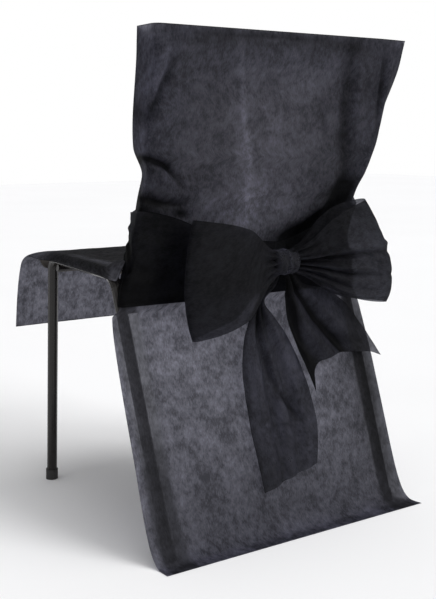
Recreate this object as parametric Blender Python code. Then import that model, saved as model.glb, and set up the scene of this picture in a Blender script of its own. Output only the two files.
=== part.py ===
"""A nonwoven chair cover with its wide sash tied in a bow, on a plain tube frame chair.

Metres, +Z up. The chair faces -Y and its own left is +X. The feet and the hem of the cover stand on z = 0,
and the origin is on the floor under the middle of the object's box.

The cover is two cut lengths of cloth: the rear panel is the back of the pocket and the drop to the floor, and
the front panel goes down the front of the backrest, over the seat and over its front edge. The sash is one
strip, so the band round the waist, the knot, both loops and both tails are one solid.
"""

import math
from collections import namedtuple

import bmesh
import bpy
import numpy as np
from mathutils import Vector

# ---------------------------------------------------------------- sizes

GAP = 0.0003
CLOTH = 0.0012
CLEAR = 0.002
OFF_CLOTH = CLEAR + CLOTH / 2  # from an edge of the chair to the middle of the cloth over it

TUBE_RADIUS = 0.010
TUBE_SIDES_LEVEL = 4  # 12 sides
CROSS_RADIUS = 0.008
CROSS_Z = 0.438
CROSS_Y = {"cross_rail_front": -0.160, "cross_rail_rear": 0.100}

FRONT_FOOT = Vector((0.219, -0.218, 0.0))
FRONT_KNEE = Vector((0.2232, -0.1790, 0.4535))
REAR_KNEE = Vector((0.2513, 0.1080, 0.4535))
REAR_FOOT = Vector((0.246, 0.266, 0.0))
FRONT_BEND = 0.024
REAR_BEND = 0.042
TUBE_END_HEIGHT = 0.008

CAP_RADIUS = 0.0120
CAP_LENGTH = 0.022

UPRIGHT_X = 0.203
UPRIGHT_FOOT = Vector((UPRIGHT_X, CROSS_Y["cross_rail_rear"], CROSS_Z))
UPRIGHT_KINK = Vector((UPRIGHT_X, 0.112, 0.480))
UPRIGHT_TOP = Vector((UPRIGHT_X, 0.2390, 0.8436))
UPRIGHT_BENDS = [0.100, 0.050]

SEAT_BOARD = 0.008
SEAT_TOP = CROSS_Z + CROSS_RADIUS + GAP + SEAT_BOARD
SEAT_HALF_WIDTH = 0.212  # it lies between the side rails
SEAT_REAR_Y = 0.080
SEAT_CORNER = 0.045
SEAT_ROLL_Y = -0.246  # where the rolled front edge starts
SEAT_ROLL_RADIUS = 0.030
SEAT_LIP = 0.012

BACKREST_BOARD = 0.008
BACKREST_LOW = 0.560
BACKREST_HIGH = 0.800
BACKREST_HALF_WIDTH = 0.190
BACKREST_CORNER = 0.040

RAIL_CLOTH_Z = FRONT_KNEE.z + TUBE_RADIUS + OFF_CLOTH  # the seat's cloth lies over the side rails
FLOOR_CLOTH_Z = CLOTH / 2
SASH = 0.0015
SASH_OFF = 0.0045  # from the middle of the cover's cloth to the middle of the sash's
FRONT_BAND_FOOT = 0.482  # the band keeps above the seat in front
FRONT_EASE = 0.002

# The rear panel at each height, top to bottom. The corners are where the flat back turns forward, the seams
# are its side edges, and the belly is how far the middle stands out behind the corners.
RearRow = namedtuple(
    "RearRow", "z y belly left right seam_left_x seam_left_y seam_right_x seam_right_y"
)
REAR_ROWS = [
    RearRow(0.8570, 0.2530, 0.000, 0.256, -0.2205, 0.2520, 0.192, -0.2830, 0.245),
    RearRow(0.8000, 0.2468, 0.002, 0.253, -0.2400, 0.2475, 0.180, -0.2790, 0.230),
    RearRow(0.7400, 0.2330, 0.006, 0.251, -0.2480, 0.2460, 0.168, -0.2720, 0.205),
    RearRow(0.6700, 0.2140, 0.012, 0.249, -0.2500, 0.2370, 0.150, -0.2610, 0.178),
    RearRow(0.6200, 0.1960, 0.017, 0.240, -0.2460, 0.2150, 0.140, -0.2360, 0.146),
    RearRow(0.5850, 0.1790, 0.015, 0.239, -0.2410, 0.2155, 0.126, -0.2290, 0.129),
    RearRow(0.5400, 0.1600, 0.008, 0.238, -0.2400, 0.2160, 0.113, -0.2200, 0.114),
    RearRow(0.5000, 0.1510, 0.003, 0.236, -0.2380, 0.2170, 0.104, -0.2190, 0.104),
    RearRow(0.4500, 0.1460, 0.000, 0.234, -0.2340, 0.2400, 0.138, -0.2400, 0.138),
    RearRow(0.4200, 0.1430, 0.000, 0.250, -0.2460, 0.2560, 0.1395, -0.2530, 0.1395),
    RearRow(0.4000, 0.1406, 0.000, 0.256, -0.2520, 0.2620, 0.1400, -0.2600, 0.1400),
    RearRow(0.3880, 0.1448, 0.000, 0.265, -0.2570, 0.2740, 0.1445, -0.2650, 0.1445),
    RearRow(0.3500, 0.1580, 0.000, 0.271, -0.2600, 0.2820, 0.157, -0.2700, 0.157),
    RearRow(0.2500, 0.1926, 0.000, 0.274, -0.2640, 0.2850, 0.192, -0.2740, 0.192),
    RearRow(0.1500, 0.2274, 0.000, 0.275, -0.2640, 0.2860, 0.227, -0.2740, 0.227),
    RearRow(0.0600, 0.2588, 0.000, 0.276, -0.2640, 0.2870, 0.258, -0.2750, 0.258),
    RearRow(0.0320, 0.2706, 0.000, 0.276, -0.2660, 0.2870, 0.270, -0.2760, 0.270),
    RearRow(0.0120, 0.2820, 0.000, 0.275, -0.2680, 0.2860, 0.282, -0.2780, 0.282),
    RearRow(0.0016, 0.2960, 0.000, 0.274, -0.2720, 0.2850, 0.296, -0.2820, 0.296),
    RearRow(FLOOR_CLOTH_Z, 0.3070, 0.000, 0.274, -0.2740, 0.2845, 0.307, -0.2840, 0.307),
    RearRow(FLOOR_CLOTH_Z, 0.3190, 0.000, 0.275, -0.2760, 0.2845, 0.319, -0.2860, 0.319),
]
REAR_CORNER = 0.012
REAR_ACROSS = {"side": 3, "back": 15}  # points across each side and across the back
BELLY_HALF_WIDTH = 0.235

# The front panel along its length, from the top seam to its front hem. The crown is how far its middle stands
# above its sides. Each side edge turns over the last of its width, to lie this far from the middle in y and z.
FrontRow = namedtuple(
    "FrontRow", "y z crown left right turn turn_left_y turn_left_z turn_right_y turn_right_z"
)
FRONT_ROWS = [
    FrontRow(0.2508, 0.8562, 0.000, 0.2400, -0.2040, 0.036, 0.0000, 0.000, 0.0000, 0.000),
    FrontRow(0.2300, 0.8562, 0.000, 0.2500, -0.2700, 0.036, -0.0330, 0.000, 0.0130, 0.000),
    FrontRow(0.2210, 0.8490, 0.000, 0.2500, -0.2800, 0.036, -0.0325, 0.000, 0.0200, 0.000),
    FrontRow(0.1998, 0.8000, 0.000, 0.2465, -0.2780, 0.036, -0.0213, 0.000, 0.0280, 0.000),
    FrontRow(0.1788, 0.7400, 0.000, 0.2440, -0.2710, 0.036, -0.0123, 0.000, 0.0240, 0.000),
    FrontRow(0.1545, 0.6700, 0.000, 0.2350, -0.2600, 0.036, -0.0065, 0.000, 0.0220, 0.000),
    FrontRow(0.1372, 0.6200, 0.000, 0.2140, -0.2320, 0.036, 0.0010, 0.000, 0.0070, 0.000),
    FrontRow(0.1250, 0.5850, 0.000, 0.2145, -0.2240, 0.036, -0.0010, 0.000, 0.0020, 0.000),
    FrontRow(0.1120, 0.5400, 0.000, 0.2150, -0.2190, 0.036, -0.0010, 0.000, 0.0000, 0.000),
    FrontRow(0.1025, 0.5000, 0.000, 0.2160, -0.2180, 0.036, -0.0005, 0.000, -0.0005, 0.000),
    FrontRow(0.0960, 0.4820, 0.000, 0.2200, -0.2220, 0.036, 0.0020, -0.001, 0.0020, -0.001),
    FrontRow(0.0925, 0.4770, -0.001, 0.2360, -0.2360, 0.030, 0.0020, -0.001, 0.0020, -0.001),
    FrontRow(0.0885, 0.4715, -0.003, 0.2600, -0.2600, 0.020, 0.0020, -0.005, 0.0020, -0.005),
    FrontRow(0.0790, 0.4680, -0.005, 0.2630, -0.2630, 0.016, 0.0010, -0.017, 0.0010, -0.017),
    FrontRow(0.0560, RAIL_CLOTH_Z, -0.008, 0.2630, -0.2630, 0.015, 0.0000, -0.021, 0.0000, -0.021),
    FrontRow(-0.0400, RAIL_CLOTH_Z, -0.008, 0.2535, -0.2535, 0.015, 0.0000, -0.021, 0.0000, -0.021),
    FrontRow(-0.1600, RAIL_CLOTH_Z, -0.007, 0.2415, -0.2415, 0.015, 0.0000, -0.020, 0.0000, -0.020),
    FrontRow(-0.2000, 0.4640, -0.004, 0.2400, -0.2400, 0.015, 0.0000, -0.016, 0.0000, -0.016),
    FrontRow(-0.2480, 0.4590, 0.000, 0.2430, -0.2430, 0.015, 0.0000, -0.006, 0.0000, -0.006),
    FrontRow(-0.2700, 0.4470, 0.002, 0.2450, -0.2450, 0.015, 0.0010, -0.002, 0.0010, -0.002),
    FrontRow(-0.2820, 0.4300, 0.000, 0.2450, -0.2450, 0.015, 0.0010, 0.000, 0.0010, 0.000),
    FrontRow(-0.2935, 0.3980, 0.000, 0.2450, -0.2450, 0.015, 0.0000, 0.000, 0.0000, 0.000),
    FrontRow(-0.3035, 0.3580, 0.000, 0.2450, -0.2450, 0.015, 0.0000, 0.000, 0.0000, 0.000),
    FrontRow(-0.3130, 0.3010, 0.000, 0.2450, -0.2450, 0.015, 0.0000, 0.000, 0.0000, 0.000),
]
FRONT_FACE_FOOT_Y = 0.090  # the panel stands upright behind this, below the next height
FRONT_FACE_HEAD_Z = 0.855
# The turned edge: how far in from the edge, and how far turned, as shares of the row's own sizes. It turns
# evenly to the pocket's seam, and sharply over the side rails.
SEAM_TURN = [(0.0, 1.0), (0.20, 0.68), (0.41, 0.35), (1.0, 0.0)]
RAIL_TURN = [(0.0, 1.0), (0.02, 0.60), (0.28, 0.14), (1.0, 0.0)]
RAIL_TURN_BELOW = 0.480
FRONT_ACROSS = 9  # points across, between the turned edges
ROW_STEPS = 2  # grid rows from one row of a table to the next

# Soft creases: from (x0, z0) to (x1, z1) on the panel, with a depth into it (minus) or out of it, and a width.
Crease = namedtuple("Crease", "x0 z0 x1 z1 depth width")
REAR_CREASES = [
    Crease(0.165, 0.800, 0.235, 0.655, -0.006, 0.024),
    Crease(0.235, 0.645, 0.160, 0.610, -0.008, 0.022),
    Crease(0.245, 0.618, 0.130, 0.600, 0.005, 0.014),
    Crease(-0.120, 0.760, -0.150, 0.620, -0.005, 0.026),
    Crease(-0.185, 0.820, -0.205, 0.640, -0.006, 0.024),
]

# The band of the sash, from the knot round the chair's left and front and back to the knot. The place counts
# the sides of its ring: 0 to 1 is from the knot to the rear left corner, 1 to 2 is the left side, and so on.
# Low and high are the heights of its edges.
BandRow = namedtuple("BandRow", "place low high")
BAND_ROWS = [
    BandRow(0.00, 0.402, 0.497),
    BandRow(0.17, 0.402, 0.503),
    BandRow(0.45, 0.402, 0.516),
    BandRow(0.78, 0.403, 0.552),
    BandRow(1.00, 0.404, 0.566),
    BandRow(1.12, 0.416, 0.568),
    BandRow(1.25, 0.440, 0.567),
    BandRow(1.50, 0.458, 0.564),
    BandRow(1.75, 0.474, 0.561),
    BandRow(2.00, 0.487, 0.560),
    BandRow(2.50, 0.486, 0.575),
    BandRow(3.00, 0.487, 0.586),
    BandRow(3.25, 0.474, 0.584),
    BandRow(3.50, 0.458, 0.580),
    BandRow(3.75, 0.440, 0.574),
    BandRow(3.88, 0.416, 0.568),
    BandRow(4.00, 0.402, 0.562),
    BandRow(4.45, 0.402, 0.529),
    BandRow(4.83, 0.402, 0.503),
    BandRow(5.00, 0.402, 0.497),
]
BAND_SIDES = [12, 5, 11, 5, 9]  # points along each side of the ring
BAND_ACROSS = 6
BAND_CORNER = 0.006

# The x of the ring's corners, at each height.
RingRow = namedtuple("RingRow", "z rear_left front_left front_right rear_right")
RING_ROWS = [
    RingRow(0.400, 0.2650, 0.2560, -0.2665, -0.2675),
    RingRow(0.430, 0.2610, 0.2540, -0.2645, -0.2655),
    RingRow(0.450, 0.2540, 0.2450, -0.2550, -0.2600),
    RingRow(0.465, 0.2490, 0.2340, -0.2360, -0.2520),
    RingRow(0.480, 0.2460, 0.2270, -0.2290, -0.2480),
    RingRow(0.500, 0.2440, 0.2235, -0.2255, -0.2460),
    RingRow(0.540, 0.2440, 0.2225, -0.2265, -0.2465),
    RingRow(0.620, 0.2450, 0.2230, -0.2330, -0.2500),
]

KNOT = Vector((-0.0568, 0.178, 0.462))
KNOT_SIZE = Vector((0.019, 0.029, 0.029))
KNOT_TIE = 0.034  # the height of the gathered cloth as it enters the knot

# Each loop leaves the knot, turns back at its outer fold and returns. The fold is given at the foot, the middle
# and the head of the strip.
LoopFold = namedtuple("LoopFold", "foot_x foot_z middle_x middle_z head_x head_z")
Loop = namedtuple("Loop", "fold y_mid y_fold depth")
LOOPS = {
    "left": Loop(LoopFold(0.148, 0.346, 0.174, 0.440, 0.149, 0.562), 0.210, 0.208, 0.024),
    "right": Loop(LoopFold(-0.272, 0.376, -0.280, 0.458, -0.210, 0.573), 0.215, 0.222, 0.028),
}
LOOP_ENDS = 0.0045  # how far each end of a loop lies behind and ahead of the middle of the knot
LOOP_INSET = {"left": 0.004, "right": -0.004}  # how far to its own side of the knot's middle it ends
LOOP_SIZE = (23, 7)
LOOP_SPREAD = [(0.0, 0.0), (0.2, 0.2), (0.5, 0.72), (0.75, 0.9), (1.0, 1.0)]
LOOP_BELLY = 1.4

# The tails, from the knot to the cut end. Each row has the strip's two edges, and how far it stands off.
TailRow = namedtuple("TailRow", "left_x left_z right_x right_z off fold")
TAILS = {
    "left": [
        TailRow(-0.050, 0.453, -0.064, 0.451, 0.0220, 0.000),
        TailRow(-0.026, 0.412, -0.055, 0.408, 0.0210, 0.003),
        TailRow(0.004, 0.378, -0.036, 0.376, 0.014, 0.006),
        TailRow(0.026, 0.348, -0.056, 0.342, 0.012, 0.010),
        TailRow(0.042, 0.300, -0.085, 0.300, 0.012, 0.012),
        TailRow(0.048, 0.235, -0.103, 0.230, 0.012, 0.012),
        TailRow(0.053, 0.170, -0.101, 0.165, 0.011, 0.010),
        TailRow(0.053, 0.110, -0.086, 0.120, 0.010, 0.007),
        TailRow(0.051, 0.072, -0.077, 0.101, 0.010, 0.004),
    ],
    "right": [
        TailRow(-0.051, 0.453, -0.065, 0.455, 0.0400, 0.000),
        TailRow(-0.070, 0.410, -0.098, 0.420, 0.0320, 0.003),
        TailRow(-0.076, 0.360, -0.150, 0.394, 0.024, 0.010),
        TailRow(-0.088, 0.306, -0.200, 0.352, 0.022, 0.012),
        TailRow(-0.102, 0.252, -0.244, 0.300, 0.020, 0.012),
        TailRow(-0.108, 0.222, -0.270, 0.268, 0.020, 0.008),
    ],
}
TAIL_ACROSS = 7
TAIL_STEPS = 3  # rows between two rows of the table
TAIL_FOLDS = 1.5
NOTCH = {"left": 0.0, "right": 0.042}  # how far the middle of the cut end is drawn up

# ---------------------------------------------------------------- helpers


def clear_scene():
    for old in list(bpy.data.objects):
        bpy.data.objects.remove(old, do_unlink=True)


def make_material(name, colour, roughness, metallic=0.0):
    material = bpy.data.materials.new(name)
    material.use_nodes = True
    shader = material.node_tree.nodes["Principled BSDF"]
    shader.inputs["Base Color"].default_value = (*colour, 1.0)
    shader.inputs["Roughness"].default_value = roughness
    shader.inputs["Metallic"].default_value = metallic
    return material


def add_object(name, data, material):
    obj = bpy.data.objects.new(name, data)
    bpy.context.scene.collection.objects.link(obj)
    data.materials.append(material)
    return obj


def add_mesh(name, bm, material):
    bmesh.ops.recalc_face_normals(bm, faces=bm.faces)
    mesh = bpy.data.meshes.new(name)
    bm.to_mesh(mesh)
    bm.free()
    mesh.shade_smooth()
    mesh.set_sharp_from_angle(angle=math.radians(40))
    return add_object(name, mesh, material)


def hide_cutter(obj):
    obj.hide_render = True
    obj.display_type = "WIRE"


def boolean(obj, other, operation, solver="EXACT"):
    modifier = obj.modifiers.new(operation.title(), "BOOLEAN")
    modifier.operation = operation
    modifier.solver = solver
    modifier.object = other


def fillet(points, radii, arc_steps=6):
    """The polyline through the points, with each inner corner rounded to its radius."""
    path = [Vector(points[0])]
    for before, corner, after, radius in zip(points, points[1:], points[2:], radii):
        to_before, to_after = (before - corner), (after - corner)
        turn = math.pi - to_before.angle(to_after, math.pi)
        reach = radius * math.tan(turn / 2)
        limit = 0.49 * min(to_before.length, to_after.length)
        if turn < 0.02 or limit < 1e-6:
            path.append(Vector(corner))
            continue
        scale = min(1.0, limit / reach)
        start = corner + to_before.normalized() * reach * scale
        end = corner + to_after.normalized() * reach * scale
        inward = (to_before.normalized() + to_after.normalized()).normalized()
        centre = corner + inward * radius * scale / math.cos(turn / 2)
        for step in range(arc_steps + 1):
            arm = (start - centre).slerp(end - centre, step / arc_steps)
            path.append(centre + arm.normalized() * radius * scale)
    path.append(Vector(points[-1]))
    return path


def smooth(knots, values, places):
    """A smooth curve through the values, which never swings past them."""
    knots = np.asarray(knots, float)
    values = np.asarray(values, float)
    steps = np.diff(knots)
    slopes = np.diff(values) / steps
    inner = slopes[:-1] * slopes[1:]
    mean = np.where(inner > 0, 2 * inner / np.where(inner > 0, slopes[:-1] + slopes[1:], 1), 0)
    tangents = np.concatenate([[slopes[0]], mean, [slopes[-1]]])
    at = np.clip(np.searchsorted(knots, places, side="right") - 1, 0, len(steps) - 1)
    t = (places - knots[at]) / steps[at]
    rise = values[at + 1] - values[at]
    start, end = tangents[at] * steps[at], tangents[at + 1] * steps[at]
    return values[at] + start * t + (3 * rise - 2 * start - end) * t**2 + (start + end - 2 * rise) * t**3


def smooth_rows(rows):
    """The table's rows with smooth rows between them, by length along its y and z, as dictionaries."""
    table = np.array(rows)
    names = rows[0]._fields
    y, z = table[:, names.index("y")], table[:, names.index("z")]
    reach = np.concatenate([[0], np.cumsum(np.hypot(np.diff(y), np.diff(z)))])
    last = len(rows) - 1
    places = np.interp(np.linspace(0, last, last * ROW_STEPS + 1), range(last + 1), reach)
    columns = [smooth(reach, table[:, column], places) for column in range(len(names))]
    return [dict(zip(names, values)) for values in zip(*columns)]


def sheet(name, grid, thickness, material, closed=False):
    """A cloth solid from a grid of the points in its middle, rows by columns. closed joins the last row to
    the first."""
    bm = bmesh.new()
    rows = [[bm.verts.new(point) for point in row] for row in grid]
    if closed:
        rows.append(rows[0])
    for upper, lower in zip(rows, rows[1:]):
        for column in range(len(upper) - 1):
            bm.faces.new((upper[column], upper[column + 1], lower[column + 1], lower[column]))
    mesh = bpy.data.meshes.new(name)
    bm.to_mesh(mesh)
    bm.free()
    mesh.shade_smooth()
    obj = add_object(name, mesh, material)
    solid = obj.modifiers.new("Thickness", "SOLIDIFY")
    solid.thickness = thickness
    solid.offset = 0.0
    return obj


def tube(name, path, radius, material, level=TUBE_SIDES_LEVEL):
    """A closed round bar along the path, as a mesh."""
    curve = bpy.data.curves.new(name, "CURVE")
    curve.dimensions = "3D"
    curve.bevel_depth = radius
    curve.bevel_resolution = level
    curve.use_fill_caps = True
    spline = curve.splines.new("POLY")
    spline.points.add(len(path) - 1)
    for point, place in zip(spline.points, path):
        point.co = (*place, 1.0)
    guide = bpy.data.objects.new(name + "_route", curve)
    bpy.context.scene.collection.objects.link(guide)
    mesh = bpy.data.meshes.new_from_object(guide)
    bpy.data.objects.remove(guide, do_unlink=True)
    bm = bmesh.new()
    bm.from_mesh(mesh)
    bpy.data.meshes.remove(mesh)
    bmesh.ops.remove_doubles(bm, verts=bm.verts, dist=1e-6)
    return add_mesh(name, bm, material)


def mirrored(point, side):
    return Vector((point.x * side, point.y, point.z))


# ---------------------------------------------------------------- chair

SIDES = {"left": 1, "right": -1}
FEET = {"front": (FRONT_FOOT, FRONT_KNEE), "rear": (REAR_FOOT, REAR_KNEE)}


def foot_end(foot, knee):
    """Where the tube ends inside its cap."""
    return foot.lerp(knee, TUBE_END_HEIGHT / knee.z)


def side_path(side):
    corners = [foot_end(FRONT_FOOT, FRONT_KNEE), FRONT_KNEE, REAR_KNEE, foot_end(REAR_FOOT, REAR_KNEE)]
    return fillet([mirrored(corner, side) for corner in corners], [FRONT_BEND, REAR_BEND])


def build_side_frames(metal):
    for side_name, side in SIDES.items():
        tube(f"side_frame_{side_name}", side_path(side), TUBE_RADIUS, metal)


def build_cross_rails(metal):
    """Each one runs between the side rails, and its ends are hollowed to fit against them."""
    for name, y in CROSS_Y.items():
        share = (y - FRONT_KNEE.y) / (REAR_KNEE.y - FRONT_KNEE.y)
        end = Vector((FRONT_KNEE.lerp(REAR_KNEE, share).x, y, CROSS_Z))
        rail = tube(name, [end, mirrored(end, -1)], CROSS_RADIUS, metal)
        for side_name, side in SIDES.items():
            cutter = tube(f"{name}_cutter_{side_name}", side_path(side), TUBE_RADIUS + GAP, metal)
            hide_cutter(cutter)
            boolean(rail, cutter, "DIFFERENCE")


def build_back_frame(metal):
    """The uprights stand on the rear cross rail, and their feet are hollowed to fit it."""
    upright = [UPRIGHT_FOOT, UPRIGHT_KINK, UPRIGHT_TOP]
    corners = upright + [mirrored(corner, -1) for corner in reversed(upright)]
    path = fillet(corners, UPRIGHT_BENDS + UPRIGHT_BENDS[::-1], 8)
    frame = tube("back_frame", path, TUBE_RADIUS, metal)
    past = Vector((UPRIGHT_X + 2 * TUBE_RADIUS, UPRIGHT_FOOT.y, UPRIGHT_FOOT.z))
    ends = [past, mirrored(past, -1)]
    cutter = tube("back_frame_cutter", ends, CROSS_RADIUS + GAP, metal)
    hide_cutter(cutter)
    boolean(frame, cutter, "DIFFERENCE")


def narrowing(distance, radius):
    """How much a plate's half-width shrinks at this distance from its end, for corners of this radius."""
    short = max(0.0, radius - distance)
    return radius - math.sqrt(max(0.0, radius**2 - short**2))


def plate(name, line, half_width, corner, thickness, material):
    """A thin board along a line in the YZ plane, with rounded corners at both ends."""
    line = [Vector(point) for point in line]
    reach = [0.0]
    for before, after in zip(line, line[1:]):
        reach.append(reach[-1] + (after - before).length)
    grid = []
    for point, distance in zip(line, reach):
        half = half_width - narrowing(min(distance, reach[-1] - distance), corner)
        grid.append([(half * share, point.y, point.z) for share in np.linspace(-1, 1, 5)])
    obj = sheet(name, grid, thickness, material)
    edge = obj.modifiers.new("Soft edges", "BEVEL")
    edge.width = thickness / 4
    edge.segments = 1
    edge.limit_method = "ANGLE"
    edge.angle_limit = math.radians(50)
    return obj


def end_steps(corner, count=5):
    """Distances from an end that follow a rounded corner evenly."""
    return [corner * (1 - math.cos(math.pi / 2 * step / count)) for step in range(count + 1)]


def build_seat(board):
    z = SEAT_TOP - SEAT_BOARD / 2
    roll = SEAT_ROLL_RADIUS - SEAT_BOARD / 2
    line = [(0, SEAT_REAR_Y - step, z) for step in end_steps(SEAT_CORNER)]
    line.append((0, SEAT_ROLL_Y, z))
    for step in range(1, 7):
        angle = math.pi / 2 * step / 6
        line.append((0, SEAT_ROLL_Y - roll * math.sin(angle), z - roll * (1 - math.cos(angle))))
    line.append((0, line[-1][1], line[-1][2] - SEAT_LIP))
    plate("seat", line, SEAT_HALF_WIDTH, SEAT_CORNER, SEAT_BOARD, board)


def build_backrest(board):
    lean = (UPRIGHT_TOP.y - UPRIGHT_KINK.y) / (UPRIGHT_TOP.z - UPRIGHT_KINK.z)
    cosine = math.cos(math.atan(lean))
    ahead = (TUBE_RADIUS + GAP + BACKREST_BOARD / 2) / cosine
    height = BACKREST_HIGH - BACKREST_LOW
    drops = end_steps(BACKREST_CORNER)
    levels = drops + [height / 2] + [height - drop for drop in reversed(drops)]
    line = []
    for level in levels:
        z = BACKREST_HIGH - level
        line.append((0, UPRIGHT_KINK.y + lean * (z - UPRIGHT_KINK.z) - ahead, z))
    plate("backrest", line, BACKREST_HALF_WIDTH, BACKREST_CORNER, BACKREST_BOARD, board)


def build_foot_cap(name, foot, knee, material):
    """A cup round the tube's end, with its underside cut level with the floor."""
    upward = (knee - foot).normalized()
    bore_floor = foot_end(foot, knee) - upward * GAP
    bm = bmesh.new()
    bmesh.ops.create_cone(
        bm, cap_ends=True, segments=20, radius1=CAP_RADIUS, radius2=CAP_RADIUS, depth=2 * CAP_LENGTH
    )
    rim = [edge for edge in bm.edges if all(vert.co.z > 0 for vert in edge.verts)]
    bmesh.ops.bevel(bm, geom=rim, offset=0.0012, segments=2, affect="EDGES")
    turn = upward.to_track_quat("Z", "Y").to_matrix().to_4x4()
    turn.translation = foot
    bm.transform(turn)
    cut = bmesh.ops.bisect_plane(
        bm, geom=bm.verts[:] + bm.edges[:] + bm.faces[:], plane_co=(0, 0, 0), plane_no=(0, 0, -1), clear_outer=True
    )
    edges = [item for item in cut["geom_cut"] if isinstance(item, bmesh.types.BMEdge)]
    bmesh.ops.edgeloop_fill(bm, edges=edges)
    cap = add_mesh(name, bm, material)
    bore = [bore_floor, bore_floor + upward * CAP_LENGTH * 2]
    cutter = tube(name + "_bore", bore, TUBE_RADIUS + GAP, material)
    hide_cutter(cutter)
    boolean(cap, cutter, "DIFFERENCE")


def build_foot_caps(rubber):
    for end_name, (foot, knee) in FEET.items():
        for side_name, side in SIDES.items():
            build_foot_cap(
                f"foot_cap_{end_name}_{side_name}", mirrored(foot, side), mirrored(knee, side), rubber
            )


# ---------------------------------------------------------------- cover


def rear_column(name, z):
    """A column of the rear panel's table at this height."""
    rows = sorted(REAR_ROWS[:-1], key=lambda row: row.z)
    return smooth([row.z for row in rows], [getattr(row, name) for row in rows], np.asarray(z, float))


def belly(x, depth):
    """How far the middle of the rear panel stands out, at x."""
    share = np.clip(np.abs(x) / BELLY_HALF_WIDTH, 0, 1)
    return depth * np.cos(share * math.pi / 2) ** 2


def rear_surface(x, z):
    """The rear panel's y at this place, away from its creases."""
    return rear_column("y", z) + belly(x, rear_column("belly", z))


def crease_depth(creases, x, z):
    """The sum of the creases at these places: each is a soft ridge or trough that dies out at both ends."""
    total = np.zeros_like(x)
    for crease in creases:
        run = np.array([crease.x1 - crease.x0, crease.z1 - crease.z0])
        from_start = np.stack([x - crease.x0, z - crease.z0], -1)
        share = from_start @ run / (run @ run)
        away = np.linalg.norm(from_start - np.clip(share, 0, 1)[..., None] * run, axis=-1)
        fade = np.clip(1 - np.abs(share - 0.5) / 0.75, 0, 1)
        total += crease.depth * np.exp(-((away / crease.width) ** 2)) * fade
    return total


def rear_row(row):
    """One row of the rear panel: its left side, its back and its right side, with soft corners between."""
    stops = [
        Vector((row["seam_left_x"], row["seam_left_y"])),
        Vector((row["left"], row["y"])),
        Vector((row["right"], row["y"])),
        Vector((row["seam_right_x"], row["seam_right_y"])),
    ]
    points = []
    counts = [REAR_ACROSS["side"], REAR_ACROSS["back"], REAR_ACROSS["side"]]
    for index, count in enumerate(counts):
        start, end = stops[index], stops[index + 1]
        inset = min(REAR_CORNER / (end - start).length, 0.4)
        first = inset if index > 0 else 0.0
        last = 1 - inset if index < 2 else 1.0
        points += [start.lerp(end, share) for share in np.linspace(first, last, count)]
    return points


def rear_grid():
    grid = []
    for row in smooth_rows(REAR_ROWS):
        points = rear_row(row)
        grid.append([(x, y + belly(x, row["belly"]), row["z"]) for x, y in points])
    grid = np.array(grid)
    grid[..., 1] += crease_depth(REAR_CREASES, grid[..., 0], grid[..., 2])
    return grid


def front_across(row):
    """The x of each point of a row, and how far it is turned: 0 inside, 1 at the edge."""
    profile = RAIL_TURN if row["z"] < RAIL_TURN_BELOW else SEAM_TURN
    inward, turned = [list(column) for column in zip(*profile)]
    left = [row["left"] - row["turn"] * share for share in inward]
    right = [row["right"] + row["turn"] * share for share in reversed(inward)]
    inside = list(np.linspace(left[-1], right[0], FRONT_ACROSS)[1:-1])
    flat = [0.0] * (len(inside) + len(turned))
    return np.array(left + inside + right), np.array(turned + flat), np.array(flat + turned[::-1])


def front_grid():
    grid = []
    for row in smooth_rows(FRONT_ROWS):
        x, left, right = front_across(row)
        y = row["y"] + left * row["turn_left_y"] + right * row["turn_right_y"]
        z = row["z"] + left * row["turn_left_z"] + right * row["turn_right_z"]
        z += row["crown"] * (1 - np.clip(np.abs(x) / (row["left"] - row["turn"]), 0, 1) ** 2)
        grid.append(np.stack([x, y, z], -1))
    return grid


def build_cover(cloth):
    sheet("rear_panel", rear_grid(), CLOTH, cloth)
    sheet("front_panel", front_grid(), CLOTH, cloth)


# ---------------------------------------------------------------- sash


def front_surface(z):
    """The front panel's y at this height on the backrest."""
    rows = sorted((row for row in FRONT_ROWS if row.y > FRONT_FACE_FOOT_Y), key=lambda row: row.z)
    rows = [row for row in rows if row.z < FRONT_FACE_HEAD_Z]
    return smooth([row.z for row in rows], [row.y for row in rows], np.asarray(z, float))


def ring_corners(z):
    """The corners of the band's ring at this height, from the knot round to the knot."""
    heights = [row.z for row in RING_ROWS]
    rear = float(rear_column("y", z)) + SASH_OFF
    front = float(front_surface(max(z, FRONT_BAND_FOOT))) - SASH_OFF - FRONT_EASE
    corners = [Vector((KNOT.x, rear))]
    for name, y in zip(RingRow._fields[1:], (rear, front, front, rear)):
        corners.append(Vector((float(smooth(heights, [getattr(row, name) for row in RING_ROWS], z)), y)))
    return corners + [corners[0]]


def band_point(z, side, share):
    """A point of the band at this height, a share of the way along one side of its ring."""
    corners = ring_corners(z)
    start, end = corners[side], corners[side + 1]
    inset = BAND_CORNER / (end - start).length
    first = inset if side > 0 else 0.0
    last = 1 - inset if side < len(BAND_SIDES) - 1 else 1.0
    x, y = start.lerp(end, first + (last - first) * share)
    rear, front = corners[0].y, corners[2].y
    near_rear = np.clip((y - front) / (rear - front), 0, 1)
    return Vector((x, y + belly(x, float(rear_column("belly", z))) * near_rear, z))


def band_grid():
    places = [row.place for row in BAND_ROWS]
    grid = []
    for side, count in enumerate(BAND_SIDES):
        for share in np.linspace(0, 1, count):
            low = float(smooth(places, [row.low for row in BAND_ROWS], side + share))
            high = float(smooth(places, [row.high for row in BAND_ROWS], side + share))
            grid.append([band_point(z, side, share) for z in np.linspace(low, high, BAND_ACROSS)])
    return grid[:-1]


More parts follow.
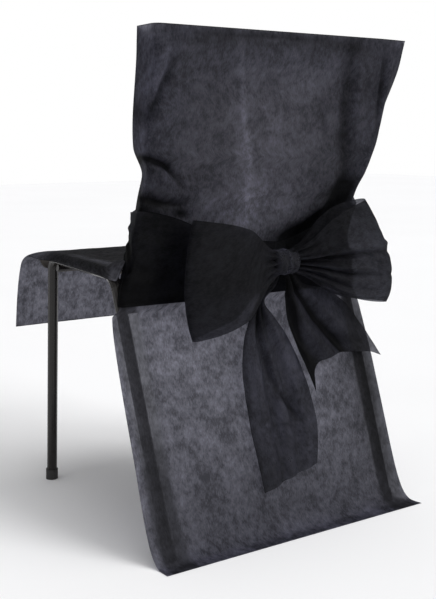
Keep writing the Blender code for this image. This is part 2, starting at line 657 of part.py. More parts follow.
def fold_point(fold, height):
    """A point of a loop's outer fold, from 0 at its foot to 1 at its head, on a parabola through three."""
    foot, middle, head = (1 - height) * (1 - 2 * height), 4 * height * (1 - height), height * (2 * height - 1)
    x = foot * fold.foot_x + middle * fold.middle_x + head * fold.head_x
    z = foot * fold.foot_z + middle * fold.middle_z + head * fold.head_z
    return x, z


def loop_grid(loop, inset, count, across):
    """Round the loop by rows, and up the strip by columns."""
    start_x = KNOT.x + inset
    grid = []
    for turn in np.linspace(0, 2 * math.pi, count):
        reach = (1 - math.cos(turn)) / 2
        side = math.sin(turn) * math.sin(turn / 2) ** LOOP_BELLY
        spread = float(smooth(*zip(*LOOP_SPREAD), reach))
        row = []
        for height in np.linspace(0, 1, across):
            fold_x, fold_z = fold_point(loop.fold, height)
            tied_z = KNOT.z + (height - 0.5) * KNOT_TIE
            x = start_x + (fold_x - start_x) * reach
            z = tied_z + (fold_z - tied_z) * spread
            middle = KNOT.y + (loop.y_mid - KNOT.y) * min(1.0, 2 * reach)
            y = middle + (loop.y_fold - loop.y_mid) * reach**2 + loop.depth * side
            y += LOOP_ENDS * math.cos(turn / 2)
            row.append(Vector((x, y, z)))
        grid.append(row)
    return grid


def tail_grid(rows, notch):
    table = np.array(rows)
    count = (len(rows) - 1) * TAIL_STEPS + 1
    knots = np.arange(len(rows))
    places = np.linspace(0, len(rows) - 1, count)
    columns = {
        name: smooth(knots, table[:, column], places) for column, name in enumerate(TailRow._fields)
    }
    grid = []
    for index in range(count):
        row = {name: values[index] for name, values in columns.items()}
        drawn = notch * max(0.0, places[index] - knots[-3]) / 2
        points = []
        for share in np.linspace(0, 1, TAIL_ACROSS):
            x = row["left_x"] + (row["right_x"] - row["left_x"]) * share
            z = row["left_z"] + (row["right_z"] - row["left_z"]) * share + drawn * math.sin(share * math.pi)
            wave = row["fold"] * (0.5 - 0.5 * math.cos(2 * math.pi * TAIL_FOLDS * share))
            points.append(Vector((x, float(rear_surface(x, z)) + row["off"] + wave, z)))
        grid.append(points)
    return grid


def build_knot(cloth):
    bm = bmesh.new()
    bmesh.ops.create_uvsphere(bm, u_segments=14, v_segments=9, radius=1.0)
    for vert in bm.verts:
        angle = math.atan2(vert.co.y, vert.co.x)
        pinch = 1 + 0.06 * math.cos(3 * angle) - 0.12 * vert.co.z**2
        vert.co = KNOT + Vector(vert.co[axis] * KNOT_SIZE[axis] * pinch for axis in range(3))
    return add_mesh("sash_knot", bm, cloth)


def build_sash(cloth):
    """One strip: the pieces are joined into one solid."""
    pieces = [build_knot(cloth)]
    for name, loop in LOOPS.items():
        grid = loop_grid(loop, LOOP_INSET[name], *LOOP_SIZE)
        pieces.append(sheet(f"sash_loop_{name}", grid, SASH, cloth))
    for name, rows in TAILS.items():
        pieces.append(sheet(f"sash_tail_{name}", tail_grid(rows, NOTCH[name]), SASH, cloth))
    sash = sheet("sash", band_grid(), SASH, cloth, closed=True)
    for piece in pieces:
        hide_cutter(piece)
        boolean(sash, piece, "UNION", "MANIFOLD")


# ---------------------------------------------------------------- the whole object


def main():
    clear_scene()
    metal = make_material("tube_paint", (0.020, 0.015, 0.013), 0.30, 0.6)
    board = make_material("board", (0.045, 0.035, 0.028), 0.50)
    rubber = make_material("foot_cap_rubber", (0.015, 0.015, 0.016), 0.60)
    cover_cloth = make_material("cover_cloth", (0.055, 0.055, 0.068), 0.90)
    sash_cloth = make_material("sash_cloth", (0.016, 0.016, 0.020), 0.90)
    build_side_frames(metal)
    build_cross_rails(metal)
    build_back_frame(metal)
    build_seat(board)
    build_backrest(board)
    build_foot_caps(rubber)
    build_cover(cover_cloth)
    build_sash(sash_cloth)


main()
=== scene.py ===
"""The looks of a black nonwoven chair cover, with its sash tied in a bow behind, on a tube frame chair."""

import math
from collections import namedtuple

import bmesh
import bpy
import numpy as np
from mathutils import Matrix, Vector, noise


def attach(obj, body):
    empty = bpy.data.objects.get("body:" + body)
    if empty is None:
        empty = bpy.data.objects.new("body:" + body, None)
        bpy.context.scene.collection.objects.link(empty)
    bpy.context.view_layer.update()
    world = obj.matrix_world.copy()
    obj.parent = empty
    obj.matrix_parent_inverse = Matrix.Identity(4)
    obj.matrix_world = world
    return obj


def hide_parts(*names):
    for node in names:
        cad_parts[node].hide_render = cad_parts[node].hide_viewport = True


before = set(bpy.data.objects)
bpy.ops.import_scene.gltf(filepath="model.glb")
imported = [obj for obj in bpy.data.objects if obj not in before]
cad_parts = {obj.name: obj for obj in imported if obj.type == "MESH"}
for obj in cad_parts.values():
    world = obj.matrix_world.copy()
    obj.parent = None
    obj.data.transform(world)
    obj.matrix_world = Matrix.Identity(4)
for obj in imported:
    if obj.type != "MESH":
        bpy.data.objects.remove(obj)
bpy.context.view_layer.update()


def table(columns, *rows):
    """The rows, with these names for their columns."""
    row_type = namedtuple("Row", columns)
    return [row_type(*row) for row in rows]


# -------- sizes, in metres
# +Z is up, the chair faces -Y, and +X is its own left. The chair's sizes are its solids' own, and the
# cloth's keep close to its solids'. A ramp is a pair: where it starts and where it is full.

# Chair
TUBE_RADIUS = 0.010
RAIL_Z = 0.4535
REAR_KNEE_X = 0.2513
REAR_FOOT_X = 0.2460

# Cloth
OFF_CLOTH = 0.002
RAIL_CLOTH_Z = RAIL_Z + TUBE_RADIUS + OFF_CLOTH
FLOOR_CLOTH_Z = 0.0006
RIM = 0.0022  # how far in a cut edge is dark
CREASE_END = 0.35  # how much of a crease is left at its two ends
BEND_SHARE = 0.4  # the most of a side that a soft bend takes

# Small uneven waves of each piece: their height, their size along the cloth and their seed.
Wave = namedtuple("Wave", "height size seed")
REAR_WAVES = [Wave(0.0016, 0.085, 1), Wave(0.0005, 0.022, 2)]
FRONT_WAVES = [Wave(0.0010, 0.070, 3), Wave(0.0004, 0.020, 4)]
BAND_WAVES = [Wave(0.0006, 0.030, 5)]
LOOP_WAVES = [Wave(0.0012, 0.050, 6)]  # these grow from the knot to the loop's fold
LOOP_RIPPLES = [Wave(0.0004, 0.015, 7)]
TAIL_WAVES = [Wave(0.0010, 0.030, 8)]

# The rear panel at each height, top to bottom: where the flat back's corners are, how far its middle stands
# out behind them, and where its side edges are.
REAR_ROWS = table(
    "z y belly left right seam_left_x seam_left_y seam_right_x seam_right_y",
    (0.8570, 0.2530, 0.000, 0.256, -0.2205, 0.2520, 0.192, -0.2830, 0.245),
    (0.8000, 0.2468, 0.002, 0.253, -0.2400, 0.2475, 0.180, -0.2790, 0.230),
    (0.7400, 0.2330, 0.006, 0.251, -0.2480, 0.2460, 0.168, -0.2720, 0.205),
    (0.6700, 0.2140, 0.012, 0.249, -0.2500, 0.2370, 0.150, -0.2610, 0.178),
    (0.6200, 0.1960, 0.017, 0.240, -0.2460, 0.2150, 0.140, -0.2360, 0.146),
    (0.5850, 0.1790, 0.015, 0.239, -0.2410, 0.2155, 0.126, -0.2290, 0.129),
    (0.5400, 0.1600, 0.008, 0.238, -0.2400, 0.2160, 0.113, -0.2200, 0.114),
    (0.5000, 0.1510, 0.003, 0.236, -0.2380, 0.2170, 0.104, -0.2190, 0.104),
    (0.4500, 0.1460, 0.000, 0.234, -0.2340, 0.2400, 0.138, -0.2400, 0.138),
    (0.4200, 0.1430, 0.000, 0.250, -0.2460, 0.2560, 0.1395, -0.2530, 0.1395),
    (0.4000, 0.1406, 0.000, 0.256, -0.2520, 0.2620, 0.1400, -0.2600, 0.1400),
    (0.3880, 0.1448, 0.000, 0.268, -0.2570, 0.2780, 0.1445, -0.2650, 0.1445),
    (0.3500, 0.1580, 0.000, 0.271, -0.2600, 0.2820, 0.157, -0.2700, 0.157),
    (0.2500, 0.1926, 0.000, 0.274, -0.2640, 0.2850, 0.192, -0.2740, 0.192),
    (0.1500, 0.2274, 0.000, 0.275, -0.2640, 0.2860, 0.227, -0.2740, 0.227),
    (0.0600, 0.2588, 0.000, 0.276, -0.2640, 0.2870, 0.258, -0.2750, 0.258),
    (0.0320, 0.2706, 0.000, 0.276, -0.2660, 0.2870, 0.270, -0.2760, 0.270),
    (0.0120, 0.2820, 0.000, 0.275, -0.2680, 0.2860, 0.282, -0.2780, 0.282),
    (0.0016, 0.2960, 0.000, 0.274, -0.2720, 0.2850, 0.296, -0.2820, 0.296),
    (FLOOR_CLOTH_Z, 0.3070, 0.000, 0.274, -0.2740, 0.2845, 0.307, -0.2840, 0.307),
    (FLOOR_CLOTH_Z, 0.3190, 0.000, 0.275, -0.2760, 0.2845, 0.319, -0.2860, 0.319),
)
REAR_CORNER = 0.016
BELLY_HALF_WIDTH = 0.235
REAR_STEPS = 11  # rows from one row of the table to the next
REAR_ACROSS = {"side": 14, "corner": 5, "back": 111}
CREASED_BELOW = (0.849, 0.819)  # the ramp, below the top rail, from smooth cloth to its folds' full depth
WAVY_ABOVE = (0.030, 0.110)  # the ramp of its waves, above the floor

# The drop hangs this much nearer to the rear legs than its solid, between two ramps. It is pressed on them
# within a ramp towards each, where the legs' shade is painted into its glow, and has no waves near them.
LEG_EASE = 0.0026
LEG_EASE_ABOVE = (0.020, 0.050)
LEG_EASE_BELOW = (0.420, 0.390)
LEG_CALM = 0.022
LEG_PRESS = (0.029, 0.020)
LEG_PRESS_BELOW = (0.420, 0.410)

# The front panel along its length, from the top seam to its front hem: how much higher its middle is, where
# its side edges are, how much of its width turns there, and how far that takes each edge in y and in z.
FRONT_ROWS = table(
    "y z crown left right turn turn_left_y turn_right_y turn_z",
    (0.2508, 0.8562, 0.000, 0.2400, -0.2040, 0.036, 0.0000, 0.0000, 0.000),
    (0.2300, 0.8562, 0.000, 0.2515, -0.2700, 0.036, -0.0370, 0.0130, 0.000),
    (0.2210, 0.8490, 0.000, 0.2512, -0.2822, 0.036, -0.0302, 0.0223, 0.000),
    (0.1998, 0.8000, 0.000, 0.2475, -0.2790, 0.036, -0.0193, 0.0307, 0.000),
    (0.1788, 0.7400, 0.000, 0.2460, -0.2720, 0.036, -0.0103, 0.0267, 0.000),
    (0.1545, 0.6700, 0.000, 0.2370, -0.2610, 0.036, -0.0040, 0.0240, 0.000),
    (0.1372, 0.6200, 0.000, 0.2150, -0.2360, 0.036, 0.0033, 0.0093, 0.000),
    (0.1250, 0.5850, 0.000, 0.2155, -0.2290, 0.036, 0.0015, 0.0045, 0.000),
    (0.1120, 0.5400, 0.000, 0.2160, -0.2200, 0.036, 0.0015, 0.0025, 0.000),
    (0.1025, 0.5000, 0.000, 0.2170, -0.2190, 0.036, 0.0020, 0.0020, 0.000),
    (0.0960, 0.4820, 0.000, 0.2200, -0.2220, 0.036, 0.0020, 0.0020, -0.001),
    (0.0925, 0.4770, -0.001, 0.2610, -0.2610, 0.026, 0.0560, 0.0560, -0.009),
    (0.0885, 0.4715, -0.003, 0.2655, -0.2655, 0.018, 0.0500, 0.0500, -0.023),
    (0.0790, 0.4680, -0.005, 0.2630, -0.2630, 0.016, 0.0320, 0.0320, -0.021),
    (0.0560, RAIL_CLOTH_Z, -0.008, 0.2595, -0.2595, 0.015, 0.0120, 0.0120, -0.016),
    (-0.0400, RAIL_CLOTH_Z, -0.008, 0.2495, -0.2495, 0.015, 0.0000, 0.0000, -0.015),
    (-0.1600, RAIL_CLOTH_Z, -0.007, 0.2380, -0.2380, 0.015, 0.0000, 0.0000, -0.015),
    (-0.2000, 0.4640, -0.004, 0.2385, -0.2385, 0.025, 0.0000, 0.0000, -0.015),
    (-0.2480, 0.4590, 0.000, 0.2430, -0.2430, 0.036, 0.0000, 0.0000, -0.007),
    (-0.2700, 0.4470, 0.002, 0.2450, -0.2450, 0.036, 0.0010, 0.0010, -0.003),
    (-0.2820, 0.4300, 0.000, 0.2450, -0.2450, 0.015, 0.0010, 0.0010, 0.000),
    (-0.2935, 0.3980, 0.000, 0.2450, -0.2450, 0.015, 0.0000, 0.0000, 0.000),
    (-0.3035, 0.3580, 0.000, 0.2450, -0.2450, 0.015, 0.0000, 0.0000, 0.000),
    (-0.3130, 0.3010, 0.000, 0.2450, -0.2450, 0.015, 0.0000, 0.0000, 0.000),
)
FRONT_FACE_FOOT_Y = 0.090
FRONT_FACE_HEAD_Z = 0.855
RAIL_TURN_BELOW = 0.480  # lower than this an edge turns in a quarter round, and on the backrest evenly
FRONT_STEPS = 9
FRONT_ACROSS = {"turn": 10, "inside": 101}
FRONT_CREASED_ABOVE = (0.490, 0.520)  # the ramp of its folds, up the backrest

# How much thicker than usual the front panel looks: everywhere, more on the seat, and again on a side rail.
FRONT_THICKNESS = 0.2
ON_SEAT_THICKER = 0.15
ON_RAIL_THICKER = 0.15
SEAT_ABOVE = (0.435, 0.455)
SEAT_BELOW = (0.490, 0.480)
RAIL_BEYOND = (0.225, 0.237)

# Creases: a line of (x, z) places, its depth into the cloth (minus) or height out of it, its width, and how
# much darker the cloth is along it, as painted shade in the crease and where it is pinched double, or
# lighter (minus), as a painted highlight on a ridge.
CREASE_COLUMNS = "line depth width thicker"
REAR_CREASES = table(
    CREASE_COLUMNS,
    ([(0.213, 0.815), (0.228, 0.780), (0.240, 0.742), (0.258, 0.685)], -0.0090, 0.007, 0.75),
    ([(0.231, 0.814), (0.248, 0.772), (0.260, 0.729), (0.270, 0.693)], 0.0045, 0.010, -0.15),
    ([(0.190, 0.800), (0.210, 0.745), (0.235, 0.690)], 0.0045, 0.016, -0.15),
    ([(0.275, 0.671), (0.250, 0.655), (0.210, 0.641), (0.165, 0.602)], -0.0115, 0.006, 1.10),
    ([(0.236, 0.630), (0.195, 0.616), (0.161, 0.602)], 0.0065, 0.014, -0.15),
    ([(0.250, 0.591), (0.202, 0.578), (0.155, 0.572), (0.136, 0.589)], -0.0095, 0.007, 0.60),
    ([(0.150, 0.566), (0.154, 0.548)], -0.0060, 0.020, 1.30),
    ([(-0.090, 0.756), (-0.116, 0.662)], -0.0045, 0.010, 0.40),
    ([(-0.147, 0.843), (-0.156, 0.732), (-0.191, 0.587)], -0.0105, 0.019, 0.75),
    ([(-0.168, 0.810), (-0.190, 0.700)], 0.0050, 0.012, -0.20),
    ([(-0.229, 0.845), (-0.233, 0.768), (-0.240, 0.697)], -0.0085, 0.007, 0.60),
    ([(-0.247, 0.839), (-0.248, 0.769)], 0.0040, 0.009, -0.15),
    ([(-0.215, 0.650), (-0.175, 0.590), (-0.120, 0.560)], -0.0055, 0.014, 0.35),
    ([(0.096, 0.850), (0.074, 0.713), (0.014, 0.522)], 0.0022, 0.006, -1.00),
    ([(0.030, 0.700), (0.010, 0.600)], -0.0025, 0.016, 0.10),
    ([(0.190, 0.848), (0.070, 0.849), (-0.100, 0.848)], -0.0020, 0.004, 0.45),
    ([(0.051, 0.843), (-0.008, 0.843)], 0.0010, 0.003, -0.60),
    ([(-0.060, 0.500), (-0.128, 0.506), (-0.180, 0.536), (-0.212, 0.594)], -0.0150, 0.024, 2.60),
)
FRONT_CREASES = table(
    CREASE_COLUMNS,
    ([(0.190, 0.720), (0.120, 0.640), (0.060, 0.600)], -0.0030, 0.016, 0.0),
    ([(-0.200, 0.700), (-0.140, 0.630), (-0.080, 0.600)], -0.0035, 0.014, 0.0),
    ([(0.205, 0.625), (0.120, 0.596), (0.030, 0.590)], 0.0030, 0.010, 0.0),
    ([(-0.215, 0.640), (-0.150, 0.606), (-0.040, 0.596)], 0.0032, 0.011, 0.0),
    ([(0.010, 0.850), (0.008, 0.600)], 0.0015, 0.005, 0.0),
)

# Places where the rear panel is drawn with fewer fibres, lighter, or more where the amount is negative,
# darker:
# painted light on its belly and on the drop, and painted shade at its sides, along its top edge, by the
# band, over the right rear leg and near the floor.
LIGHT_AND_SHADE_PATCHES = table(
    "x z width height amount",
    (0.020, 0.562, 0.115, 0.055, 2.10),
    (0.025, 0.700, 0.160, 0.110, 1.30),
    (-0.050, 0.775, 0.050, 0.040, 0.45),
    (0.026, 0.552, 0.018, 0.034, 1.20),
    (0.062, 0.663, 0.016, 0.030, 0.60),
    (0.000, 0.860, 0.300, 0.030, -0.35),
    (-0.240, 0.720, 0.035, 0.150, -0.25),
    (0.255, 0.720, 0.025, 0.130, -0.20),
    (0.235, 0.568, 0.080, 0.032, -0.90),
    (0.230, 0.634, 0.035, 0.017, -0.55),
    (0.150, 0.330, 0.070, 0.060, 0.22),
    (-0.220, 0.220, 0.070, 0.200, -0.45),
    (-0.249, 0.240, 0.020, 0.180, -0.30),
    (0.000, 0.060, 0.320, 0.070, -0.25),
)

# The band of the sash, from the knot round the chair's left and front and back to it. Its place counts the
# sides of its ring: 0 to 1 is from the knot to the rear left corner, 1 to 2 the left side, and so on.
BAND_ROWS = table(
    "place low high",
    (0.00, 0.402, 0.497),
    (0.17, 0.402, 0.503),
    (0.45, 0.402, 0.516),
    (0.78, 0.403, 0.552),
    (1.00, 0.404, 0.566),
    (1.12, 0.416, 0.568),
    (1.25, 0.440, 0.567),
    (1.50, 0.458, 0.564),
    (1.75, 0.474, 0.561),
    (2.00, 0.487, 0.560),
    (2.50, 0.486, 0.575),
    (3.00, 0.487, 0.586),
    (3.25, 0.474, 0.584),
    (3.50, 0.458, 0.580),
    (3.75, 0.440, 0.574),
    (3.88, 0.416, 0.568),
    (4.00, 0.402, 0.562),
    (4.45, 0.402, 0.529),
    (4.83, 0.402, 0.503),
    (5.00, 0.402, 0.497),
)
BAND_SIDES = [90, 30, 100, 30, 70]  # points along each side of the ring
BAND_ACROSS = 45
BAND_CORNER = 0.008
BAND_OFF = 0.0045  # how far off the cover it lies
BAND_FRONT_OFF = 0.0065
BAND_FRONT_FOOT = 0.482  # the foot of the backrest, where the cover turns forward under the band
BAND_THICKNESS = [(0, 0.85), (0.3, 0.8), (0.6, 0.45), (1, 0.3)]  # over its width, from its lower edge

# Its lengthwise folds: how many lie over its width, their share of the height, and how they drift up and
# down on the way round: by how much, how many times, and with what phase.
BAND_FOLDS = table(
    "number share drifts",
    (2.3, 1.0, [(0.35, 1, 0.0), (0.10, 3, 0.0)]),
    (4.7, 0.5, [(0.50, 2, 1.0)]),
)
BAND_FOLD_HEIGHT = 0.0016

# The x of the ring's corners, at each height.
RING_ROWS = table(
    "z rear_left front_left front_right rear_right",
    (0.400, 0.2650, 0.2560, -0.2665, -0.2675),
    (0.430, 0.2610, 0.2540, -0.2645, -0.2655),
    (0.450, 0.2540, 0.2450, -0.2550, -0.2600),
    (0.465, 0.2490, 0.2340, -0.2360, -0.2520),
    (0.480, 0.2460, 0.2270, -0.2290, -0.2480),
    (0.500, 0.2440, 0.2235, -0.2255, -0.2460),
    (0.540, 0.2440, 0.2225, -0.2265, -0.2465),
    (0.620, 0.2450, 0.2230, -0.2330, -0.2500),
)

KNOT = Vector((-0.0568, 0.178, 0.462))
KNOT_SIZE = Vector((0.030, 0.027, 0.0225))  # half its length, depth and height
KNOT_FLATTEN = 0.6  # how much flatter it is at its ends
KNOT_ROUND = 96
KNOT_ACROSS = 49
KNOT_BODY = 0.80  # the share of its radius that its whole length has
KNOT_SWELL = 0.20  # the share that dwindles towards its ends
KNOT_SWELL_LOST = 0.92  # and how far, where 1 is to nothing
KNOT_THINS = 1.5  # how much thinner its cloth looks than usual
KNOT_END_THICKER = 1.9  # and how much of that is lost at its ends
KNOT_FOLD_PAINTED_SHADE = 10.0  # and how much more on a ridge, as a painted highlight, and less in a trough, as painted shade, for each radius

# Its upright folds: their height as a share of its radius, how closely they lie, how far they sway on the
# way round, and the phases of the sway and of the folds.
KNOT_FOLDS = table(
    "height number sway sway_phase phase",
    (0.045, 10.0, 0.9, 0.0, 0.0),
    (0.030, 17.0, 1.3, -math.pi / 2, 1.0),
)

# Each loop leaves the knot, turns back at its outer fold and returns. The fold is given at the foot, the
# middle and the head of the strip, then the loop's y half way out and at the fold, and half its hollow.
LoopFold = namedtuple("LoopFold", "foot_x foot_z middle_x middle_z head_x head_z")
Loop = namedtuple("Loop", "fold y_mid y_fold depth")
LOOPS = {
    "left": Loop(LoopFold(0.159, 0.345, 0.175, 0.440, 0.157, 0.549), 0.210, 0.208, 0.024),
    "right": Loop(LoopFold(-0.272, 0.376, -0.280, 0.458, -0.210, 0.573), 0.215, 0.222, 0.028),
}
LOOP_ENDS = 0.0045  # half the space between the loop's two ends
LOOP_TIED = 0.030  # how high the strip is where it is tied
LOOP_INSET = {"left": 0.004, "right": -0.004}
LOOP_SIZE = (181, 97)  # points round the loop and up its strip
LOOP_SPREAD = [(0, 0), (0.2, 0.2), (0.5, 0.72), (0.75, 0.9), (1, 1)]  # its opening at each reach
LOOP_BELLY = 1.4  # the higher, the further out the loop is widest
LOOP_FOLD_THICKER = 0.4  # how much thicker than usual the cloth looks at the loop's fold
LOOP_FOLD_REACH = 0.012
GATHER_PAINTED_SHADE = 50.0  # how much lighter the cloth is on a ridge, as a painted highlight, and darker in a trough, as painted shade, for each metre
GATHER_START = 0.03  # the reach where the gathers have their full height
GATHER_AT_KNOT = 0.25  # and their share of it in the knot

# Gathers that run out from the knot: the place across the strip, from 0 at its foot to 1 at its head, the
# height out of the cloth (or into it), the width as a share of the strip, and the reach where it is gone.
GATHER_COLUMNS = "place height width end"
LOOP_GATHERS = {
    "left": table(
        GATHER_COLUMNS,
        (0.08, 0.0050, 0.050, 0.35),
        (0.18, -0.0070, 0.036, 0.42),
        (0.31, 0.0055, 0.050, 0.40),
        (0.42, -0.0065, 0.034, 0.28),
        (0.54, 0.0060, 0.050, 0.45),
        (0.66, -0.0060, 0.036, 0.36),
        (0.80, 0.0060, 0.055, 0.55),
        (0.91, -0.0050, 0.036, 0.40),
    ),
    "right": table(
        GATHER_COLUMNS,
        (0.06, 0.0080, 0.035, 1.10),
        (0.15, -0.0080, 0.030, 0.90),
        (0.25, 0.0080, 0.045, 0.80),
        (0.34, -0.0130, 0.025, 1.25),
        (0.42, 0.0090, 0.030, 1.10),
        (0.50, -0.0090, 0.024, 0.60),
        (0.575, -0.0140, 0.026, 1.35),
        (0.650, 0.0130, 0.024, 1.45),
        (0.76, 0.0060, 0.060, 0.70),
        (0.88, -0.0060, 0.035, 0.55),
        (0.95, 0.0050, 0.030, 0.60),
    ),
}

# The tails, from the knot to the cut end. Each row has the strip's two edges, how far it stands off the
# rear panel, and the height of its lengthwise folds.
TAIL_COLUMNS = "left_x left_z right_x right_z off fold"
TAILS = {
    "left": table(
        TAIL_COLUMNS,
        (-0.050, 0.453, -0.064, 0.451, 0.0220, 0.000),
        (-0.034, 0.422, -0.053, 0.418, 0.0210, 0.003),
        (-0.011, 0.387, -0.030, 0.389, 0.0170, 0.004),
        (0.015, 0.354, -0.046, 0.362, 0.0140, 0.007),
        (0.033, 0.320, -0.065, 0.332, 0.0120, 0.010),
        (0.046, 0.276, -0.084, 0.279, 0.0120, 0.012),
        (0.051, 0.226, -0.094, 0.228, 0.0120, 0.012),
        (0.052, 0.178, -0.098, 0.178, 0.0110, 0.010),
        (0.049, 0.125, -0.090, 0.130, 0.0100, 0.007),
        (0.047, 0.073, -0.080, 0.101, 0.0100, 0.004),
    ),
    "right": table(
        TAIL_COLUMNS,
        (-0.051, 0.453, -0.065, 0.455, 0.0400, 0.000),
        (-0.066, 0.409, -0.112, 0.417, 0.0330, 0.004),
        (-0.063, 0.363, -0.164, 0.404, 0.0280, 0.008),
        (-0.074, 0.313, -0.207, 0.378, 0.0240, 0.011),
        (-0.089, 0.267, -0.246, 0.327, 0.0220, 0.012),
        (-0.102, 0.223, -0.280, 0.268, 0.0200, 0.006),
    ),
}
TAIL_ACROSS = 61
TAIL_STEPS = 16
# The lengthwise folds of each tail: places across it and their heights, as a share of the row's fold.
TAIL_FOLDS = {
    "left": [(0, 0), (0.1, 0.5), (0.22, 0.9), (0.38, -0.6), (0.52, 0.5), (0.66, -0.6), (0.82, 0.5), (1, 0)],
    "right": [(0, 0.2), (0.09, -0.9), (0.28, 0.7), (0.49, -1.0), (0.68, 0.9), (0.86, 0.3), (1, 0)],
}
# How much thicker than usual each tail looks across its width, where it is folded on itself and as painted
# shade along its folds and edges, or thinner.
TAIL_SHADE_AND_THICKNESS = {
    "left": [
        (0, 0.3), (0.09, -0.4), (0.25, -0.6), (0.37, -0.2),
        (0.5, -0.8), (0.66, -0.3), (0.8, -0.7), (1, -0.3),
    ],
    "right": [
        (0, 0.9), (0.09, 0.9), (0.2, 0.1), (0.4, -0.1),
        (0.49, 1.1), (0.58, 0.1), (0.68, -0.3), (1, 0.1),
    ],
}
TAIL_HEAD = 0.45  # the share of a tail's length where it looks thicker near the knot: its gathers there, and painted shade under the knot
TAIL_HEAD_SHADE = 0.8
TAIL_CREASES = {
    "left": table(
        CREASE_COLUMNS,
        ([(-0.012, 0.300), (-0.014, 0.262), (-0.024, 0.232), (-0.062, 0.180)], -0.0080, 0.007, 1.10),
        ([(-0.020, 0.405), (-0.014, 0.360), (-0.004, 0.315)], -0.0050, 0.020, 1.30),
    ),
    "right": table(
        CREASE_COLUMNS,
        ([(-0.080, 0.405), (-0.083, 0.362), (-0.087, 0.315)], 0.0, 0.010, 0.90),
        ([(-0.160, 0.320), (-0.195, 0.308), (-0.245, 0.300)], -0.0030, 0.012, 0.60),
    ),
}
# The cut end of the right tail is hollow: this high in all, growing over the last rows, with this outline.
NOTCH = {"left": 0.0, "right": 0.044}
NOTCH_ROWS = 2
NOTCH_OUTLINE = [(0, 0), (0.06, 0.70), (0.17, 1), (0.36, 0.97), (0.55, 0.79), (0.83, 0.41), (1, 0)]

# The photograph's camera, for a frame of 436 x 599 pixels.
CAMERA_PLACE = Vector((1.1125, 1.6238, 0.6885))
CAMERA_YAW = math.radians(35.36)
CAMERA_PITCH = math.radians(9.04)
CAMERA_LENS = 62.2

# Broad soft lights from far off: the direction towards each, how wide it is in degrees, and its strength.
SUNS = table(
    "name toward width strength",
    ("key", (-1.0, 2.2, 1.0), 35, 2.5),
    ("overhead", (-0.2, 0.3, 1.0), 70, 1.3),
    ("rim", (2.2, 0.3, 0.9), 6, 0.12),
)
WORLD_STRENGTH = 0.42
FLOOR_SIZE = 12.0

# The unevenness of the nonwoven, from its clouds to its fibres: how much each layer is stretched along the
# cloth, its scale, detail and roughness, and its weight in the sum.
MOTTLES = table(
    "stretch scale detail roughness weight",
    (1.0, 18.0, 4.0, 0.6, 0.38),
    (0.7, 95.0, 3.0, 0.6, 0.34),
    (0.3, 480.0, 2.0, 0.7, 0.28),
)
MOTTLE_RANGE = (0.34, 0.58)  # the sum where the fibres are fewest and most
BOND_SCALE = 620.0  # bond points along a metre
CUT_EDGE_THICKER = 0.7
THICKNESS_AND_SHADE_RANGE = (-3.5, 0.9)  # how much thicker the cloth is, with its painted light and shade, from the brightest tone to the darkest
TONE_RANGE = (4.5, 0.1)
SHADED_PRESSED_GLOW = 0.15  # the share of its glow that cloth pressed on a tube keeps: painted shade of the tube behind it
PRESSED_GAPS = 0.12  # how much more shows straight through it there
THICK_GAPS = 0.35  # the share of its gaps that cloth keeps where its fibres are most
GAP_TINT = (0.88, 0.89, 1.0, 1.0)
NOISE_RANGE = (0.3, 0.7)  # most of what a noise gives

# -------- helpers


def smooth(knots, values, places):
    """A smooth curve through the values, which never swings past them."""
    knots = np.asarray(knots, float)
    values = np.asarray(values, float)
    steps = np.diff(knots)
    slopes = np.diff(values) / steps
    inner = slopes[:-1] * slopes[1:]
    mean = np.where(inner > 0, 2 * inner / np.where(inner > 0, slopes[:-1] + slopes[1:], 1), 0)
    tangents = np.concatenate([[slopes[0]], mean, [slopes[-1]]])
    at = np.clip(np.searchsorted(knots, places, side="right") - 1, 0, len(steps) - 1)
    t = (places - knots[at]) / steps[at]
    rise = values[at + 1] - values[at]
    start, end = tangents[at] * steps[at], tangents[at + 1] * steps[at]
    return values[at] + start * t + (3 * rise - 2 * start - end) * t**2 + (start + end - 2 * rise) * t**3


def read(rows, key, name, places):
    """A column of a table, read smoothly at these places of its key column, which rises."""
    return smooth([getattr(row, key) for row in rows], [getattr(row, name) for row in rows], places)


def smooth_rows(rows, steps):
    """The table's rows with smooth rows between them, by length along its y and z, as dictionaries."""
    y, z = (np.array([getattr(row, name) for row in rows]) for name in ("y", "z"))
    reach = np.concatenate([[0], np.cumsum(np.hypot(np.diff(y), np.diff(z)))])
    last = len(rows) - 1
    places = np.interp(np.linspace(0, last, last * steps + 1), range(last + 1), reach)
    columns = [smooth(reach, column, places) for column in zip(*rows)]
    return [dict(zip(rows[0]._fields, values)) for values in zip(*columns)]


def ramp(values, start, full):
    """0 as far as the start, 1 from where it is full, and even between."""
    return np.clip((values - start) / (full - start), 0, 1)


def uneven(grid, waves):
    """Smooth random waves over the grid's points."""
    total = np.zeros(grid.shape[:2])
    for wave in waves:
        offset = Vector((wave.seed * 7.31, wave.seed * 3.17, wave.seed * 5.71))
        values = [noise.noise(Vector(point) / wave.size + offset) for point in grid.reshape(-1, 3)]
        total += wave.height * np.array(values).reshape(total.shape)
    return total


def pushed(grid, amount):
    """The grid, with each point moved this far along its normal."""
    down, across = np.gradient(grid, axis=0), np.gradient(grid, axis=1)
    normals = np.cross(across, down)
    normals /= np.maximum(np.linalg.norm(normals, axis=-1, keepdims=True), 1e-12)
    return grid + normals * np.asarray(amount)[..., None]


